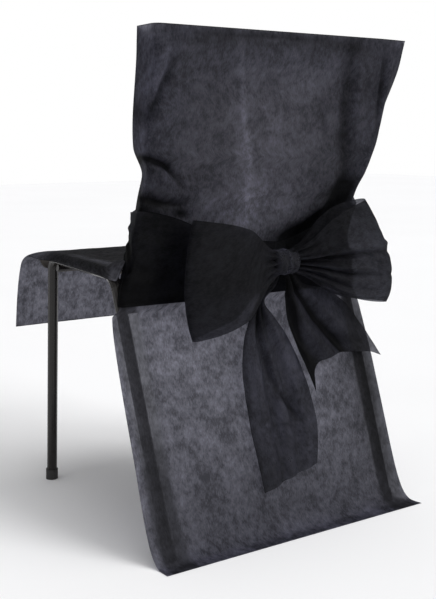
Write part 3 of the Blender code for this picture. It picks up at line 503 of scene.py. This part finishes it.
def creased(creases, field, x, z):
    """The sum of a field of the creases at these places: each is a soft line that dies out at both ends."""
    total = np.zeros_like(x)
    for crease in creases:
        line = np.array(crease.line)
        runs = np.diff(line, axis=0)
        lengths = np.linalg.norm(runs, axis=1)
        starts = np.concatenate([[0], np.cumsum(lengths)])
        nearest = np.full(x.shape, np.inf)
        along = np.zeros_like(x)
        for start, run, length, reach in zip(line, runs, lengths, starts):
            offset = np.stack([x - start[0], z - start[1]], -1)
            share = np.clip(offset @ run / length**2, 0, 1)
            away = np.linalg.norm(offset - share[..., None] * run, axis=-1)
            along = np.where(away < nearest, (reach + share * length) / starts[-1], along)
            nearest = np.minimum(away, nearest)
        fade = CREASE_END + (1 - CREASE_END) * np.sin(np.pi * np.clip(along, 0, 1))
        total += getattr(crease, field) * np.exp(-((nearest / crease.width) ** 2)) * fade
    return total


def with_rim(values, grid, axis):
    """The values with a line more close inside each of the two borders, as far in as the rim is wide."""
    values, grid = np.moveaxis(values, axis, 0), np.moveaxis(grid, axis, 0)
    first = RIM / np.linalg.norm(grid[1] - grid[0], axis=-1, keepdims=True).clip(RIM * 2)
    last = RIM / np.linalg.norm(grid[-2] - grid[-1], axis=-1, keepdims=True).clip(RIM * 2)
    near = values[0] + (values[1] - values[0]) * first
    far = values[-1] + (values[-2] - values[-1]) * last
    values = np.concatenate([values[:1], near[None], values[1:-1], far[None], values[-1:]])
    return np.moveaxis(values, 0, axis)


def cloth_mesh(name, grid, material, closed=False, thickness=0.0, pressed_and_shaded=0.0):
    """A single smooth sheet through the grid's points. It keeps its flat coordinates for the weave, how
    much denser than usual its cloth is along with its painted light and shade, where it lies on a tube with
    the tube's painted shade, and its cut edges."""
    extra = np.broadcast_to(np.stack(np.broadcast_arrays(thickness, pressed_and_shaded), -1), (*grid.shape[:2], 2))
    for axis in (1,) if closed else (0, 1):
        extra = with_rim(extra, grid, axis)
        grid = with_rim(grid, grid, axis)
    rows, columns = grid.shape[:2]
    edge = np.zeros((rows, columns))
    edge[:, [0, -1]] = 1
    if not closed:
        edge[[0, -1]] = 1
    across = np.linalg.norm(np.diff(grid, axis=1), axis=-1).cumsum(axis=1)
    down = np.linalg.norm(np.diff(grid, axis=0), axis=-1).mean(axis=1, keepdims=True).cumsum(axis=0)
    flat = np.zeros(grid.shape)
    flat[:, 1:, 0] = across
    flat[1:, :, 1] = down
    index = np.arange(rows * columns).reshape(rows, columns)
    if closed:
        index = np.concatenate([index, index[:1]])
    quads = np.stack([index[:-1, :-1], index[:-1, 1:], index[1:, 1:], index[1:, :-1]], -1)
    mesh = bpy.data.meshes.new(name)
    mesh.from_pydata(grid.reshape(-1, 3).tolist(), [], quads.reshape(-1, 4).tolist())
    flat_places = mesh.attributes.new("cloth", "FLOAT_VECTOR", "POINT")
    flat_places.data.foreach_set("vector", flat.reshape(-1).astype(np.float32))
    for field, values in (("thickness", extra[..., 0]), ("pressed_and_shaded", extra[..., 1]), ("cut_edge", edge)):
        amounts = mesh.attributes.new(field, "FLOAT", "POINT")
        amounts.data.foreach_set("value", values.reshape(-1).astype(np.float32))
    mesh.shade_smooth()
    mesh.materials.append(material)
    obj = bpy.data.objects.new(name, mesh)
    bpy.context.scene.collection.objects.link(obj)
    return obj


def add_piece(obj, replaced):
    """The piece rides on the object's one body and stands for its CAD nodes, which it hides."""
    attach(obj, "root")
    if replaced:
        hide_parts(*replaced)
    return obj


# -------- materials


def add_node(tree, kind, inputs=None, **settings):
    """A node with these settings, and with these inputs set to a value or linked from a socket."""
    new = tree.nodes.new(kind)
    for name, value in settings.items():
        setattr(new, name, value)
    for name, value in (inputs or {}).items():
        if isinstance(value, bpy.types.NodeSocket):
            tree.links.new(value, new.inputs[name])
        else:
            new.inputs[name].default_value = value
    return new


def new_material(name):
    """A material with no nodes yet, and its tree."""
    material = bpy.data.materials.new(name)
    material.use_nodes = True
    material.node_tree.nodes.clear()
    return material, material.node_tree


def scaled(tree, vector, scale):
    """The vector times this one, part by part."""
    inputs = {0: vector, 1: scale}
    return add_node(tree, "ShaderNodeVectorMath", inputs, operation="MULTIPLY").outputs["Vector"]


def noise_at(tree, vector, scale, detail, roughness=0.6):
    inputs = {"Vector": vector, "Scale": scale, "Detail": detail, "Roughness": roughness}
    return add_node(tree, "ShaderNodeTexNoise", inputs).outputs["Fac"]


def mapped(tree, value, low, high, to_low, to_high):
    inputs = {"Value": value, "From Min": low, "From Max": high, "To Min": to_low, "To Max": to_high}
    return add_node(tree, "ShaderNodeMapRange", inputs).outputs["Result"]


def blended(tree, share, first, second):
    """A colour between the first, at a share of 0, and the second."""
    inputs = {0: share, 6: (*first, 1.0), 7: (*second, 1.0)}
    return add_node(tree, "ShaderNodeMix", inputs, data_type="RGBA").outputs[2]


def bumped(tree, height, strength, distance):
    """A surface's normal with this height on it."""
    inputs = {"Strength": strength, "Distance": distance, "Height": height}
    return add_node(tree, "ShaderNodeBump", inputs).outputs["Normal"]


def principled(tree, inputs):
    return add_node(tree, "ShaderNodeBsdfPrincipled", inputs).outputs[0]


def finished(material, shader):
    """The material, with this shader on its surface."""
    add_node(material.node_tree, "ShaderNodeOutputMaterial", {"Surface": shader})
    return material


def toned(tree, colour, share):
    """The colour times this share."""
    inputs = {0: colour, "Scale": share}
    return add_node(tree, "ShaderNodeVectorMath", inputs, operation="SCALE").outputs["Vector"]


def computed(tree, operation, *values):
    return add_node(tree, "ShaderNodeMath", dict(enumerate(values)), operation=operation).outputs[0]


def summed(tree, terms):
    """The sum of each socket times its weight."""
    total = 0.0
    for socket, weight in terms:
        total = computed(tree, "MULTIPLY_ADD", socket, weight, total)
    return total


def attribute(tree, name, output):
    return add_node(tree, "ShaderNodeAttribute", attribute_name=name).outputs[output]


def nonwoven(name, thin, thick, thin_glow, thick_glow, gaps):
    """Spunbonded cloth: cloudy and fibrous, with small bond points. Where its fibres are few it reflects
    the thin colour and passes the thin glow, and a little shows straight through its gaps. Where it lies
    hard on a tube it glows less, as painted shade of the tube, and more shows through it. Its tone follows
    how dense it is and its painted light and shade."""
    material, tree = new_material(name)
    cloth = attribute(tree, "cloth", "Vector")
    pressed_and_shaded = attribute(tree, "pressed_and_shaded", "Fac")
    layers = []
    for mottle in MOTTLES:
        places = scaled(tree, cloth, (1.0, mottle.stretch, 1.0))
        layer = noise_at(tree, places, mottle.scale, mottle.detail, mottle.roughness)
        layers.append((layer, mottle.weight))
    thinness = mapped(tree, summed(tree, layers), *MOTTLE_RANGE, 1.0, 0.0)
    thicker = [(attribute(tree, "thickness", "Fac"), 1.0)]
    thicker.append((attribute(tree, "cut_edge", "Fac"), CUT_EDGE_THICKER))
    tone = mapped(tree, summed(tree, thicker), *THICKNESS_AND_SHADE_RANGE, *TONE_RANGE)
    bonds = {"Vector": cloth, "Scale": BOND_SCALE, "Randomness": 0.25}
    points = add_node(tree, "ShaderNodeTexVoronoi", bonds).outputs["Distance"]
    height = summed(tree, [(points, 0.3), (thinness, -1.0)])
    bump = bumped(tree, height, strength=0.30, distance=0.0005)
    look = {
        "Base Color": toned(tree, blended(tree, thinness, thick, thin), tone),
        "Roughness": 0.60,
        "Specular IOR Level": 0.07,
        "Normal": bump,
    }
    front = principled(tree, look)
    glow = toned(tree, blended(tree, thinness, thick_glow, thin_glow), tone)
    # Painted shade of a tube behind: less glow where the cloth lies on it.
    glow = toned(tree, glow, mapped(tree, pressed_and_shaded, 0.0, 1.0, 1.0, SHADED_PRESSED_GLOW))
    through = add_node(tree, "ShaderNodeBsdfTranslucent", {"Color": glow, "Normal": bump}).outputs[0]
    body = add_node(tree, "ShaderNodeMixShader", {0: 0.5, 1: front, 2: through}).outputs[0]
    holes = add_node(tree, "ShaderNodeBsdfTransparent", {"Color": GAP_TINT}).outputs[0]
    open_share = computed(tree, "MULTIPLY_ADD", pressed_and_shaded, PRESSED_GAPS, gaps)
    for share in (mapped(tree, thinness, 0.0, 1.0, THICK_GAPS, 1.0), tone):
        open_share = computed(tree, "MULTIPLY", open_share, share)
    sheer = add_node(tree, "ShaderNodeMixShader", {0: open_share, 1: body, 2: holes}).outputs[0]
    return finished(material, sheer)


def object_places(tree):
    return add_node(tree, "ShaderNodeTexCoord").outputs["Object"]


def tube_paint():
    """Dark gloss enamel on steel, with a faint orange peel and a few dull patches."""
    material, tree = new_material("tube_paint")
    places = object_places(tree)
    peel = noise_at(tree, places, scale=420.0, detail=2.0)
    patches = noise_at(tree, places, scale=18.0, detail=4.0)
    look = {
        "Base Color": blended(tree, patches, (0.005, 0.004, 0.003), (0.011, 0.008, 0.007)),
        "Roughness": mapped(tree, patches, *NOISE_RANGE, 0.20, 0.34),
        "Specular IOR Level": 0.25,
        "Coat Weight": 0.25,
        "Coat Roughness": 0.06,
        "Normal": bumped(tree, peel, strength=0.06, distance=0.0004),
    }
    return finished(material, principled(tree, look))


def board():
    """Dark plywood under lacquer, its darkness painted shade for where it shows under the cover: long grain
    with small flecks.
    """
    material, tree = new_material("board")
    places = object_places(tree)
    grain = noise_at(tree, scaled(tree, places, (1.0, 9.0, 9.0)), scale=9.0, detail=6.0)
    long_places = scaled(tree, places, (1.0, 14.0, 14.0))
    flecks = noise_at(tree, long_places, scale=60.0, detail=2.0, roughness=0.5)
    look = {
        "Base Color": blended(tree, grain, (0.022, 0.017, 0.014), (0.048, 0.038, 0.031)),
        "Roughness": mapped(tree, flecks, *NOISE_RANGE, 0.32, 0.46),
        "Normal": bumped(tree, flecks, strength=0.15, distance=0.0003),
    }
    return finished(material, principled(tree, look))


def foot_cap_rubber():
    """Moulded black rubber, scuffed all over."""
    material, tree = new_material("foot_cap_rubber")
    scuffs = noise_at(tree, object_places(tree), scale=260.0, detail=4.0, roughness=0.7)
    look = {
        "Base Color": blended(tree, scuffs, (0.012, 0.012, 0.013), (0.034, 0.033, 0.032)),
        "Roughness": mapped(tree, scuffs, *NOISE_RANGE, 0.5, 0.75),
        "Normal": bumped(tree, scuffs, strength=0.25, distance=0.0004),
    }
    return finished(material, principled(tree, look))


def studio_floor():
    """Plain and pale, with hardly a cloud."""
    material, tree = new_material("studio_floor")
    cloudy = noise_at(tree, object_places(tree), scale=0.8, detail=2.0)
    colour = blended(tree, cloudy, (0.86, 0.86, 0.87), (0.90, 0.90, 0.91))
    return finished(material, principled(tree, {"Base Color": colour, "Roughness": 0.9}))


# -------- cover


def rear_column(name, z):
    """A column of the rear panel's table at this height, without its last row, which is no higher."""
    return read(REAR_ROWS[-2::-1], "z", name, z)


def belly(x, depth):
    """How far the middle of the rear panel stands out, at x."""
    share = np.clip(np.abs(x) / BELLY_HALF_WIDTH, 0, 1)
    return depth * np.cos(share * math.pi / 2) ** 2


def rear_surface(x, z):
    """The rear panel's y at this place, away from its creases."""
    return rear_column("y", z) + belly(x, rear_column("belly", z))


def bent(start, corner, end, inset, count):
    """The start of a soft bend at the corner, the points along it and its end."""
    to_start, to_end = start - corner, end - corner
    first = corner + to_start * min(inset / to_start.length, BEND_SHARE)
    last = corner + to_end * min(inset / to_end.length, BEND_SHARE)
    shares = np.linspace(0, 1, count + 2)[1:-1]
    points = [first * (1 - t) ** 2 + corner * 2 * t * (1 - t) + last * t**2 for t in shares]
    return first, points, last


def rear_row(row):
    """One row of the rear panel: its left side, its back and its right side, with soft bends between."""
    seam_left = Vector((row["seam_left_x"], row["seam_left_y"]))
    left = Vector((row["left"], row["y"]))
    right = Vector((row["right"], row["y"]))
    seam_right = Vector((row["seam_right_x"], row["seam_right_y"]))
    first, left_bend, second = bent(seam_left, left, right, REAR_CORNER, REAR_ACROSS["corner"])
    third, right_bend, fourth = bent(left, right, seam_right, REAR_CORNER, REAR_ACROSS["corner"])
    side, back = REAR_ACROSS["side"], REAR_ACROSS["back"]
    points = [seam_left.lerp(first, share) for share in np.linspace(0, 1, side)]
    points += left_bend
    points += [second.lerp(third, share) for share in np.linspace(0, 1, back)]
    points += right_bend
    points += [fourth.lerp(seam_right, share) for share in np.linspace(0, 1, side)]
    return points


def rear_grid():
    grid = []
    for row in smooth_rows(REAR_ROWS, REAR_STEPS):
        points = rear_row(row)
        grid.append([(x, y + belly(x, row["belly"]), row["z"]) for x, y in points])
    return np.array(grid)


def seam_taper(grid, count):
    """1 over most of each row, and down to 0 at its two ends over this many points."""
    from_start = np.arange(grid.shape[1])
    return np.clip(np.minimum(from_start, from_start[::-1]) / count, 0, 1)


def build_cover_back(material):
    grid = rear_grid()
    x, z = grid[..., 0], grid[..., 2]
    by_leg = np.exp(-(((np.abs(x) - REAR_FOOT_X) / LEG_CALM) ** 2)) * (z < RAIL_Z)
    depth = creased(REAR_CREASES, "depth", x, z)
    depth += ramp(z, *WAVY_ABOVE) * uneven(grid, REAR_WAVES) * (1 - by_leg)
    depth -= LEG_EASE * ramp(z, *LEG_EASE_ABOVE) * ramp(z, *LEG_EASE_BELOW)
    grid[..., 1] += depth * seam_taper(grid, REAR_ACROSS["side"]) * ramp(z, *CREASED_BELOW)
    leg_x = REAR_KNEE_X + (REAR_FOOT_X - REAR_KNEE_X) * ramp(z, RAIL_Z, 0)
    pressed_and_shaded = ramp(np.abs(np.abs(x) - leg_x), *LEG_PRESS) * ramp(z, *LEG_PRESS_BELOW)
    # Painted shade in the creases and highlights on their ridges, then painted light and shade in patches.
    thickness = creased(REAR_CREASES, "thicker", x, z)
    for patch in LIGHT_AND_SHADE_PATCHES:
        away = ((x - patch.x) / patch.width) ** 2 + ((z - patch.z) / patch.height) ** 2
        thickness -= patch.amount * np.exp(-away)
    cover = cloth_mesh("cover_back", grid, material, thickness=thickness, pressed_and_shaded=pressed_and_shaded)
    add_piece(cover, ["rear_panel"])


def front_row(row):
    """The x of each point of a row, and how far it is turned at the left and right edge."""
    if row["z"] < RAIL_TURN_BELOW:
        angle = np.linspace(0, math.pi / 2, FRONT_ACROSS["turn"])
        inward, turned = 1 - np.cos(angle), 1 - np.sin(angle)
    else:
        inward = np.linspace(0, 1, FRONT_ACROSS["turn"])
        turned = 1 - inward
    left = row["left"] - row["turn"] * inward
    right = (row["right"] + row["turn"] * inward)[::-1]
    inside = np.linspace(left[-1], right[0], FRONT_ACROSS["inside"])[1:-1]
    flat = np.zeros(len(inside) + len(turned))
    x = np.concatenate([left, inside, right])
    return x, np.concatenate([turned, flat]), np.concatenate([flat, turned[::-1]])


def build_cover_front(material):
    grid = []
    for row in smooth_rows(FRONT_ROWS, FRONT_STEPS):
        x, left, right = front_row(row)
        y = row["y"] + left * row["turn_left_y"] + right * row["turn_right_y"]
        z = row["z"] + (left + right) * row["turn_z"]
        z += row["crown"] * (1 - np.clip(np.abs(x) / (row["left"] - row["turn"]), 0, 1) ** 2)
        grid.append(np.stack([x, y, z], -1))
    grid = np.array(grid)
    x, z = grid[..., 0], grid[..., 2]
    depth = ramp(z, *FRONT_CREASED_ABOVE) * creased(FRONT_CREASES, "depth", x, z)
    depth += uneven(grid, FRONT_WAVES)
    grid = pushed(grid, depth * seam_taper(grid, FRONT_ACROSS["turn"]))
    x, z = grid[..., 0], grid[..., 2]
    on_seat = ramp(z, *SEAT_ABOVE) * ramp(z, *SEAT_BELOW)
    on_rail = on_seat * ramp(np.abs(x), *RAIL_BEYOND)
    thickness = FRONT_THICKNESS + ON_SEAT_THICKER * on_seat + ON_RAIL_THICKER * on_rail
    cover = cloth_mesh("cover_front", grid, material, thickness=thickness)
    add_piece(cover, ["front_panel"])


# -------- sash


def front_surface(z):
    """The front panel's y at this height on the backrest."""
    rows = [row for row in FRONT_ROWS[::-1] if row.y > FRONT_FACE_FOOT_Y and row.z < FRONT_FACE_HEAD_Z]
    return read(rows, "z", "y", z)


def ring_corners(z):
    """The corners of the band's ring at this height, from the knot round to the knot."""
    rear = float(rear_column("y", z)) + BAND_OFF
    front = float(front_surface(max(z, BAND_FRONT_FOOT))) - BAND_FRONT_OFF
    corners = [Vector((KNOT.x, rear))]
    for name, y in zip(RING_ROWS[0]._fields[1:], (rear, front, front, rear)):
        corners.append(Vector((float(read(RING_ROWS, "z", name, z)), y)))
    return corners + [corners[0]]


def band_point(z, side, share):
    """A point of the band at this height, a share of the way along one side of its ring."""
    corners = ring_corners(z)
    start, end = corners[side], corners[side + 1]
    inset = BAND_CORNER / (end - start).length
    first = inset if side > 0 else 0.0
    last = 1 - inset if side < len(BAND_SIDES) - 1 else 1.0
    x, y = start.lerp(end, first + (last - first) * share)
    rear, front = corners[0].y, corners[2].y
    near_rear = np.clip((y - front) / (rear - front), 0, 1)
    return (x, y + belly(x, float(rear_column("belly", z))) * near_rear, z)


def build_band(material):
    grid = []
    for side, count in enumerate(BAND_SIDES):
        for share in np.linspace(0, 1, count):
            low, high = (float(read(BAND_ROWS, "place", name, side + share)) for name in ("low", "high"))
            grid.append([band_point(z, side, share) for z in np.linspace(low, high, BAND_ACROSS)])
    grid = np.array(grid[:-1])
    across = np.linspace(0, 1, BAND_ACROSS)[None, :]
    round_ring = np.linspace(0, 2 * math.pi, len(grid))[:, None]
    height = np.ones(grid.shape[:2])
    for fold in BAND_FOLDS:
        drift = sum(amount * np.sin(times * round_ring + phase) for amount, times, phase in fold.drifts)
        height += fold.share * np.sin(2 * math.pi * (fold.number * across + drift))
    height *= BAND_FOLD_HEIGHT * np.sin(math.pi * across) ** 0.5
    grid = pushed(grid, -(height + uneven(grid, BAND_WAVES)))
    thickness = smooth(*zip(*BAND_THICKNESS), across)
    band = cloth_mesh("sash_band", grid, material, closed=True, thickness=thickness)
    add_piece(band, ["sash"])


def fold_point(fold, height):
    """A point of a loop's outer fold, from 0 at its foot to 1 at its head, on a parabola through three."""
    foot = (1 - height) * (1 - 2 * height)
    middle = 4 * height * (1 - height)
    head = height * (2 * height - 1)
    x = foot * fold.foot_x + middle * fold.middle_x + head * fold.head_x
    z = foot * fold.foot_z + middle * fold.middle_z + head * fold.head_z
    return x, z


def loop_grid(loop, inset, count, across):
    """Round the loop by rows, and up the strip by columns."""
    start_x = KNOT.x + inset
    grid = []
    for turn in np.linspace(0, 2 * math.pi, count):
        reach = (1 - math.cos(turn)) / 2
        side = math.sin(turn) * math.sin(turn / 2) ** LOOP_BELLY
        spread = float(smooth(*zip(*LOOP_SPREAD), reach))
        row = []
        for height in np.linspace(0, 1, across):
            fold_x, fold_z = fold_point(loop.fold, height)
            tied_z = KNOT.z + (height - 0.5) * LOOP_TIED
            x = start_x + (fold_x - start_x) * reach
            z = tied_z + (fold_z - tied_z) * spread
            middle = KNOT.y + (loop.y_mid - KNOT.y) * min(1.0, 2 * reach)
            y = middle + (loop.y_fold - loop.y_mid) * reach**2 + loop.depth * side
            y += LOOP_ENDS * math.cos(turn / 2)
            row.append((x, y, z))
        grid.append(row)
    return np.array(grid)


def gathered(gathers, across, reach):
    """The height of the gathers at each place across the strip and at each reach."""
    total = np.zeros(np.broadcast(across, reach).shape)
    for gather in gathers:
        fade = ramp(reach, gather.end, 0)
        fade = fade * fade * (3 - 2 * fade)
        total += gather.height * np.exp(-(((across - gather.place) / gather.width) ** 2)) * fade
    return total


def build_loop(name, material):
    rows, columns = LOOP_SIZE
    grid = loop_grid(LOOPS[name], LOOP_INSET[name], rows, columns)
    turn = np.linspace(0, 2 * math.pi, rows)[:, None]
    reach = (1 - np.cos(turn)) / 2
    across = np.linspace(0, 1, columns)[None, :]
    gathers = gathered(LOOP_GATHERS[name], across, reach)
    gathers *= np.clip(reach / GATHER_START, GATHER_AT_KNOT, 1)
    amount = gathers + uneven(grid, LOOP_WAVES) * reach + uneven(grid, LOOP_RIPPLES)
    outward = 1 if name == "left" else -1
    grid = pushed(grid, outward * amount)
    thickness = LOOP_FOLD_THICKER * np.exp(-(((1 - reach) / LOOP_FOLD_REACH) ** 2))
    # Painted highlights on the gathers' ridges and painted shade in their troughs.
    thickness = thickness - GATHER_PAINTED_SHADE * gathers
    loop = cloth_mesh(f"sash_loop_{name}", grid, material, thickness=thickness)
    add_piece(loop, [])


def tail_grid(rows, folds, notch):
    """Down the tail by rows, and across it from left to right by columns."""
    knots = np.arange(len(rows))
    places = np.linspace(0, knots[-1], knots[-1] * TAIL_STEPS + 1)
    columns = {name: smooth(knots, column, places) for name, column in zip(rows[0]._fields, zip(*rows))}
    shares = np.linspace(0, 1, TAIL_ACROSS)
    waves = smooth(*zip(*folds), shares)
    outline = smooth(*zip(*NOTCH_OUTLINE), shares)
    grid = []
    for index, place in enumerate(places):
        row = {name: values[index] for name, values in columns.items()}
        drawn = notch * max(0.0, place - (knots[-1] - NOTCH_ROWS)) / NOTCH_ROWS
        points = []
        for share, wave, hollow in zip(shares, waves, outline):
            x = row["left_x"] + (row["right_x"] - row["left_x"]) * share
            z = row["left_z"] + (row["right_z"] - row["left_z"]) * share + drawn * hollow
            points.append((x, float(rear_surface(x, z)) + row["off"] + row["fold"] * wave, z))
        grid.append(points)
    return np.array(grid)


def build_tail(name, material):
    grid = tail_grid(TAILS[name], TAIL_FOLDS[name], NOTCH[name])
    x, z = grid[..., 0], grid[..., 2]
    grid[..., 1] += uneven(grid, TAIL_WAVES) + creased(TAIL_CREASES[name], "depth", x, z)
    down = np.linspace(0, 1, len(grid))[:, None]
    # Painted shade and highlights along the creases, across the folds and under the knot.
    thickness = creased(TAIL_CREASES[name], "thicker", x, z)
    thickness += smooth(*zip(*TAIL_SHADE_AND_THICKNESS[name]), np.linspace(0, 1, TAIL_ACROSS))
    thickness += TAIL_HEAD_SHADE * ramp(down, TAIL_HEAD, 0)
    tail = cloth_mesh(f"sash_tail_{name}", grid, material, thickness=thickness)
    add_piece(tail, [])


def build_knot(material):
    """The strip drawn over the front of the knot: a short wrapped roll with upright folds."""
    angle = np.linspace(0, 2 * math.pi, KNOT_ROUND, endpoint=False)[:, None]
    across = np.linspace(-1, 1, KNOT_ACROSS)[None, :]
    folds = np.zeros((KNOT_ROUND, KNOT_ACROSS))
    for fold in KNOT_FOLDS:
        sway = fold.sway * np.sin(angle + fold.sway_phase)
        folds += fold.height * np.cos(fold.number * across + sway + fold.phase)
    radius = KNOT_BODY + KNOT_SWELL * np.sqrt(1 - KNOT_SWELL_LOST * across**4) + folds
    x = KNOT.x + KNOT_SIZE.x * across
    y = KNOT.y + KNOT_SIZE.y * radius * np.cos(angle) * (1 - KNOT_FLATTEN * across**4)
    z = KNOT.z + KNOT_SIZE.z * radius * np.sin(angle)
    # Lighter than usual, darker at its ends, with painted highlights on its folds' ridges and painted shade
    # in their troughs.
    thickness = KNOT_END_THICKER * across**4 - KNOT_THINS - KNOT_FOLD_PAINTED_SHADE * folds
    grid = np.stack(np.broadcast_arrays(x, y, z), -1)
    knot = cloth_mesh("sash_knot", grid, material, closed=True, thickness=thickness)
    add_piece(knot, [])


# -------- chair


def build_chair(paint, wood, rubber):
    """The CAD solids keep their shape, with finer materials."""
    finishes = {
        "side_frame": paint,
        "back_frame": paint,
        "cross_rail": paint,
        "seat": wood,
        "backrest": wood,
        "foot_cap": rubber,
    }
    for node_name, node_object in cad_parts.items():
        for start, material in finishes.items():
            if node_name.startswith(start):
                for material_slot in node_object.material_slots:
                    material_slot.material = material


# -------- studio


def build_floor():
    bm = bmesh.new()
    bmesh.ops.create_grid(bm, x_segments=8, y_segments=8, size=FLOOR_SIZE)
    mesh = bpy.data.meshes.new("floor")
    bm.to_mesh(mesh)
    bm.free()
    mesh.materials.append(studio_floor())
    floor = bpy.data.objects.new("floor", mesh)
    bpy.context.scene.collection.objects.link(floor)


def build_suns():
    for sun in SUNS:
        light = bpy.data.lights.new(sun.name, "SUN")
        light.angle = math.radians(sun.width)
        light.energy = sun.strength
        lamp = bpy.data.objects.new(sun.name, light)
        lamp.rotation_euler = Vector(sun.toward).to_track_quat("Z", "Y").to_euler()
        bpy.context.scene.collection.objects.link(lamp)


def build_world():
    """White to the eye, and softer as a light."""
    world = bpy.data.worlds.new("studio")
    world.use_nodes = True
    tree = world.node_tree
    tree.nodes.clear()
    seen = add_node(tree, "ShaderNodeBackground", {"Color": (1, 1, 1, 1), "Strength": 1.0})
    light = add_node(tree, "ShaderNodeBackground", {"Color": (1, 1, 1, 1), "Strength": WORLD_STRENGTH})
    to_camera = add_node(tree, "ShaderNodeLightPath").outputs["Is Camera Ray"]
    shares = {0: to_camera, 1: light.outputs[0], 2: seen.outputs[0]}
    both = add_node(tree, "ShaderNodeMixShader", shares)
    add_node(tree, "ShaderNodeOutputWorld", {"Surface": both.outputs[0]})
    bpy.context.scene.world = world


def build_camera():
    camera = bpy.data.cameras.new("camera")
    camera.lens = CAMERA_LENS
    rig = bpy.data.objects.new("camera", camera)
    yaw = Matrix.Rotation(math.pi - CAMERA_YAW, 4, "Z")
    pitch = Matrix.Rotation(math.pi / 2 - CAMERA_PITCH, 4, "X")
    rig.matrix_world = Matrix.Translation(CAMERA_PLACE) @ yaw @ pitch
    bpy.context.scene.collection.objects.link(rig)
    bpy.context.scene.camera = rig


# -------- the whole scene

cover_cloth = nonwoven(
    "cover_cloth",
    thin=(0.045, 0.045, 0.054),
    thick=(0.0175, 0.0175, 0.021),
    thin_glow=(0.58, 0.58, 0.70),
    thick_glow=(0.145, 0.145, 0.175),
    gaps=0.02,
)
# The cover's own cloth, drawn darker for the sash: for its gathered layers, and as painted shade on the
# bow.
sash_cloth = nonwoven(
    "sash_cloth",
    thin=(0.017, 0.017, 0.0195),
    thick=(0.0065, 0.0065, 0.0075),
    thin_glow=(0.16, 0.16, 0.195),
    thick_glow=(0.055, 0.055, 0.065),
    gaps=0.21,
)
build_camera()
build_world()
build_floor()
build_suns()
build_chair(tube_paint(), board(), foot_cap_rubber())
build_cover_back(cover_cloth)
build_cover_front(cover_cloth)
build_band(sash_cloth)
build_knot(sash_cloth)
for loop_name in LOOPS:
    build_loop(loop_name, sash_cloth)
for tail_name in TAILS:
    build_tail(tail_name, sash_cloth)

bpy.context.scene.view_settings.view_transform = "Standard"
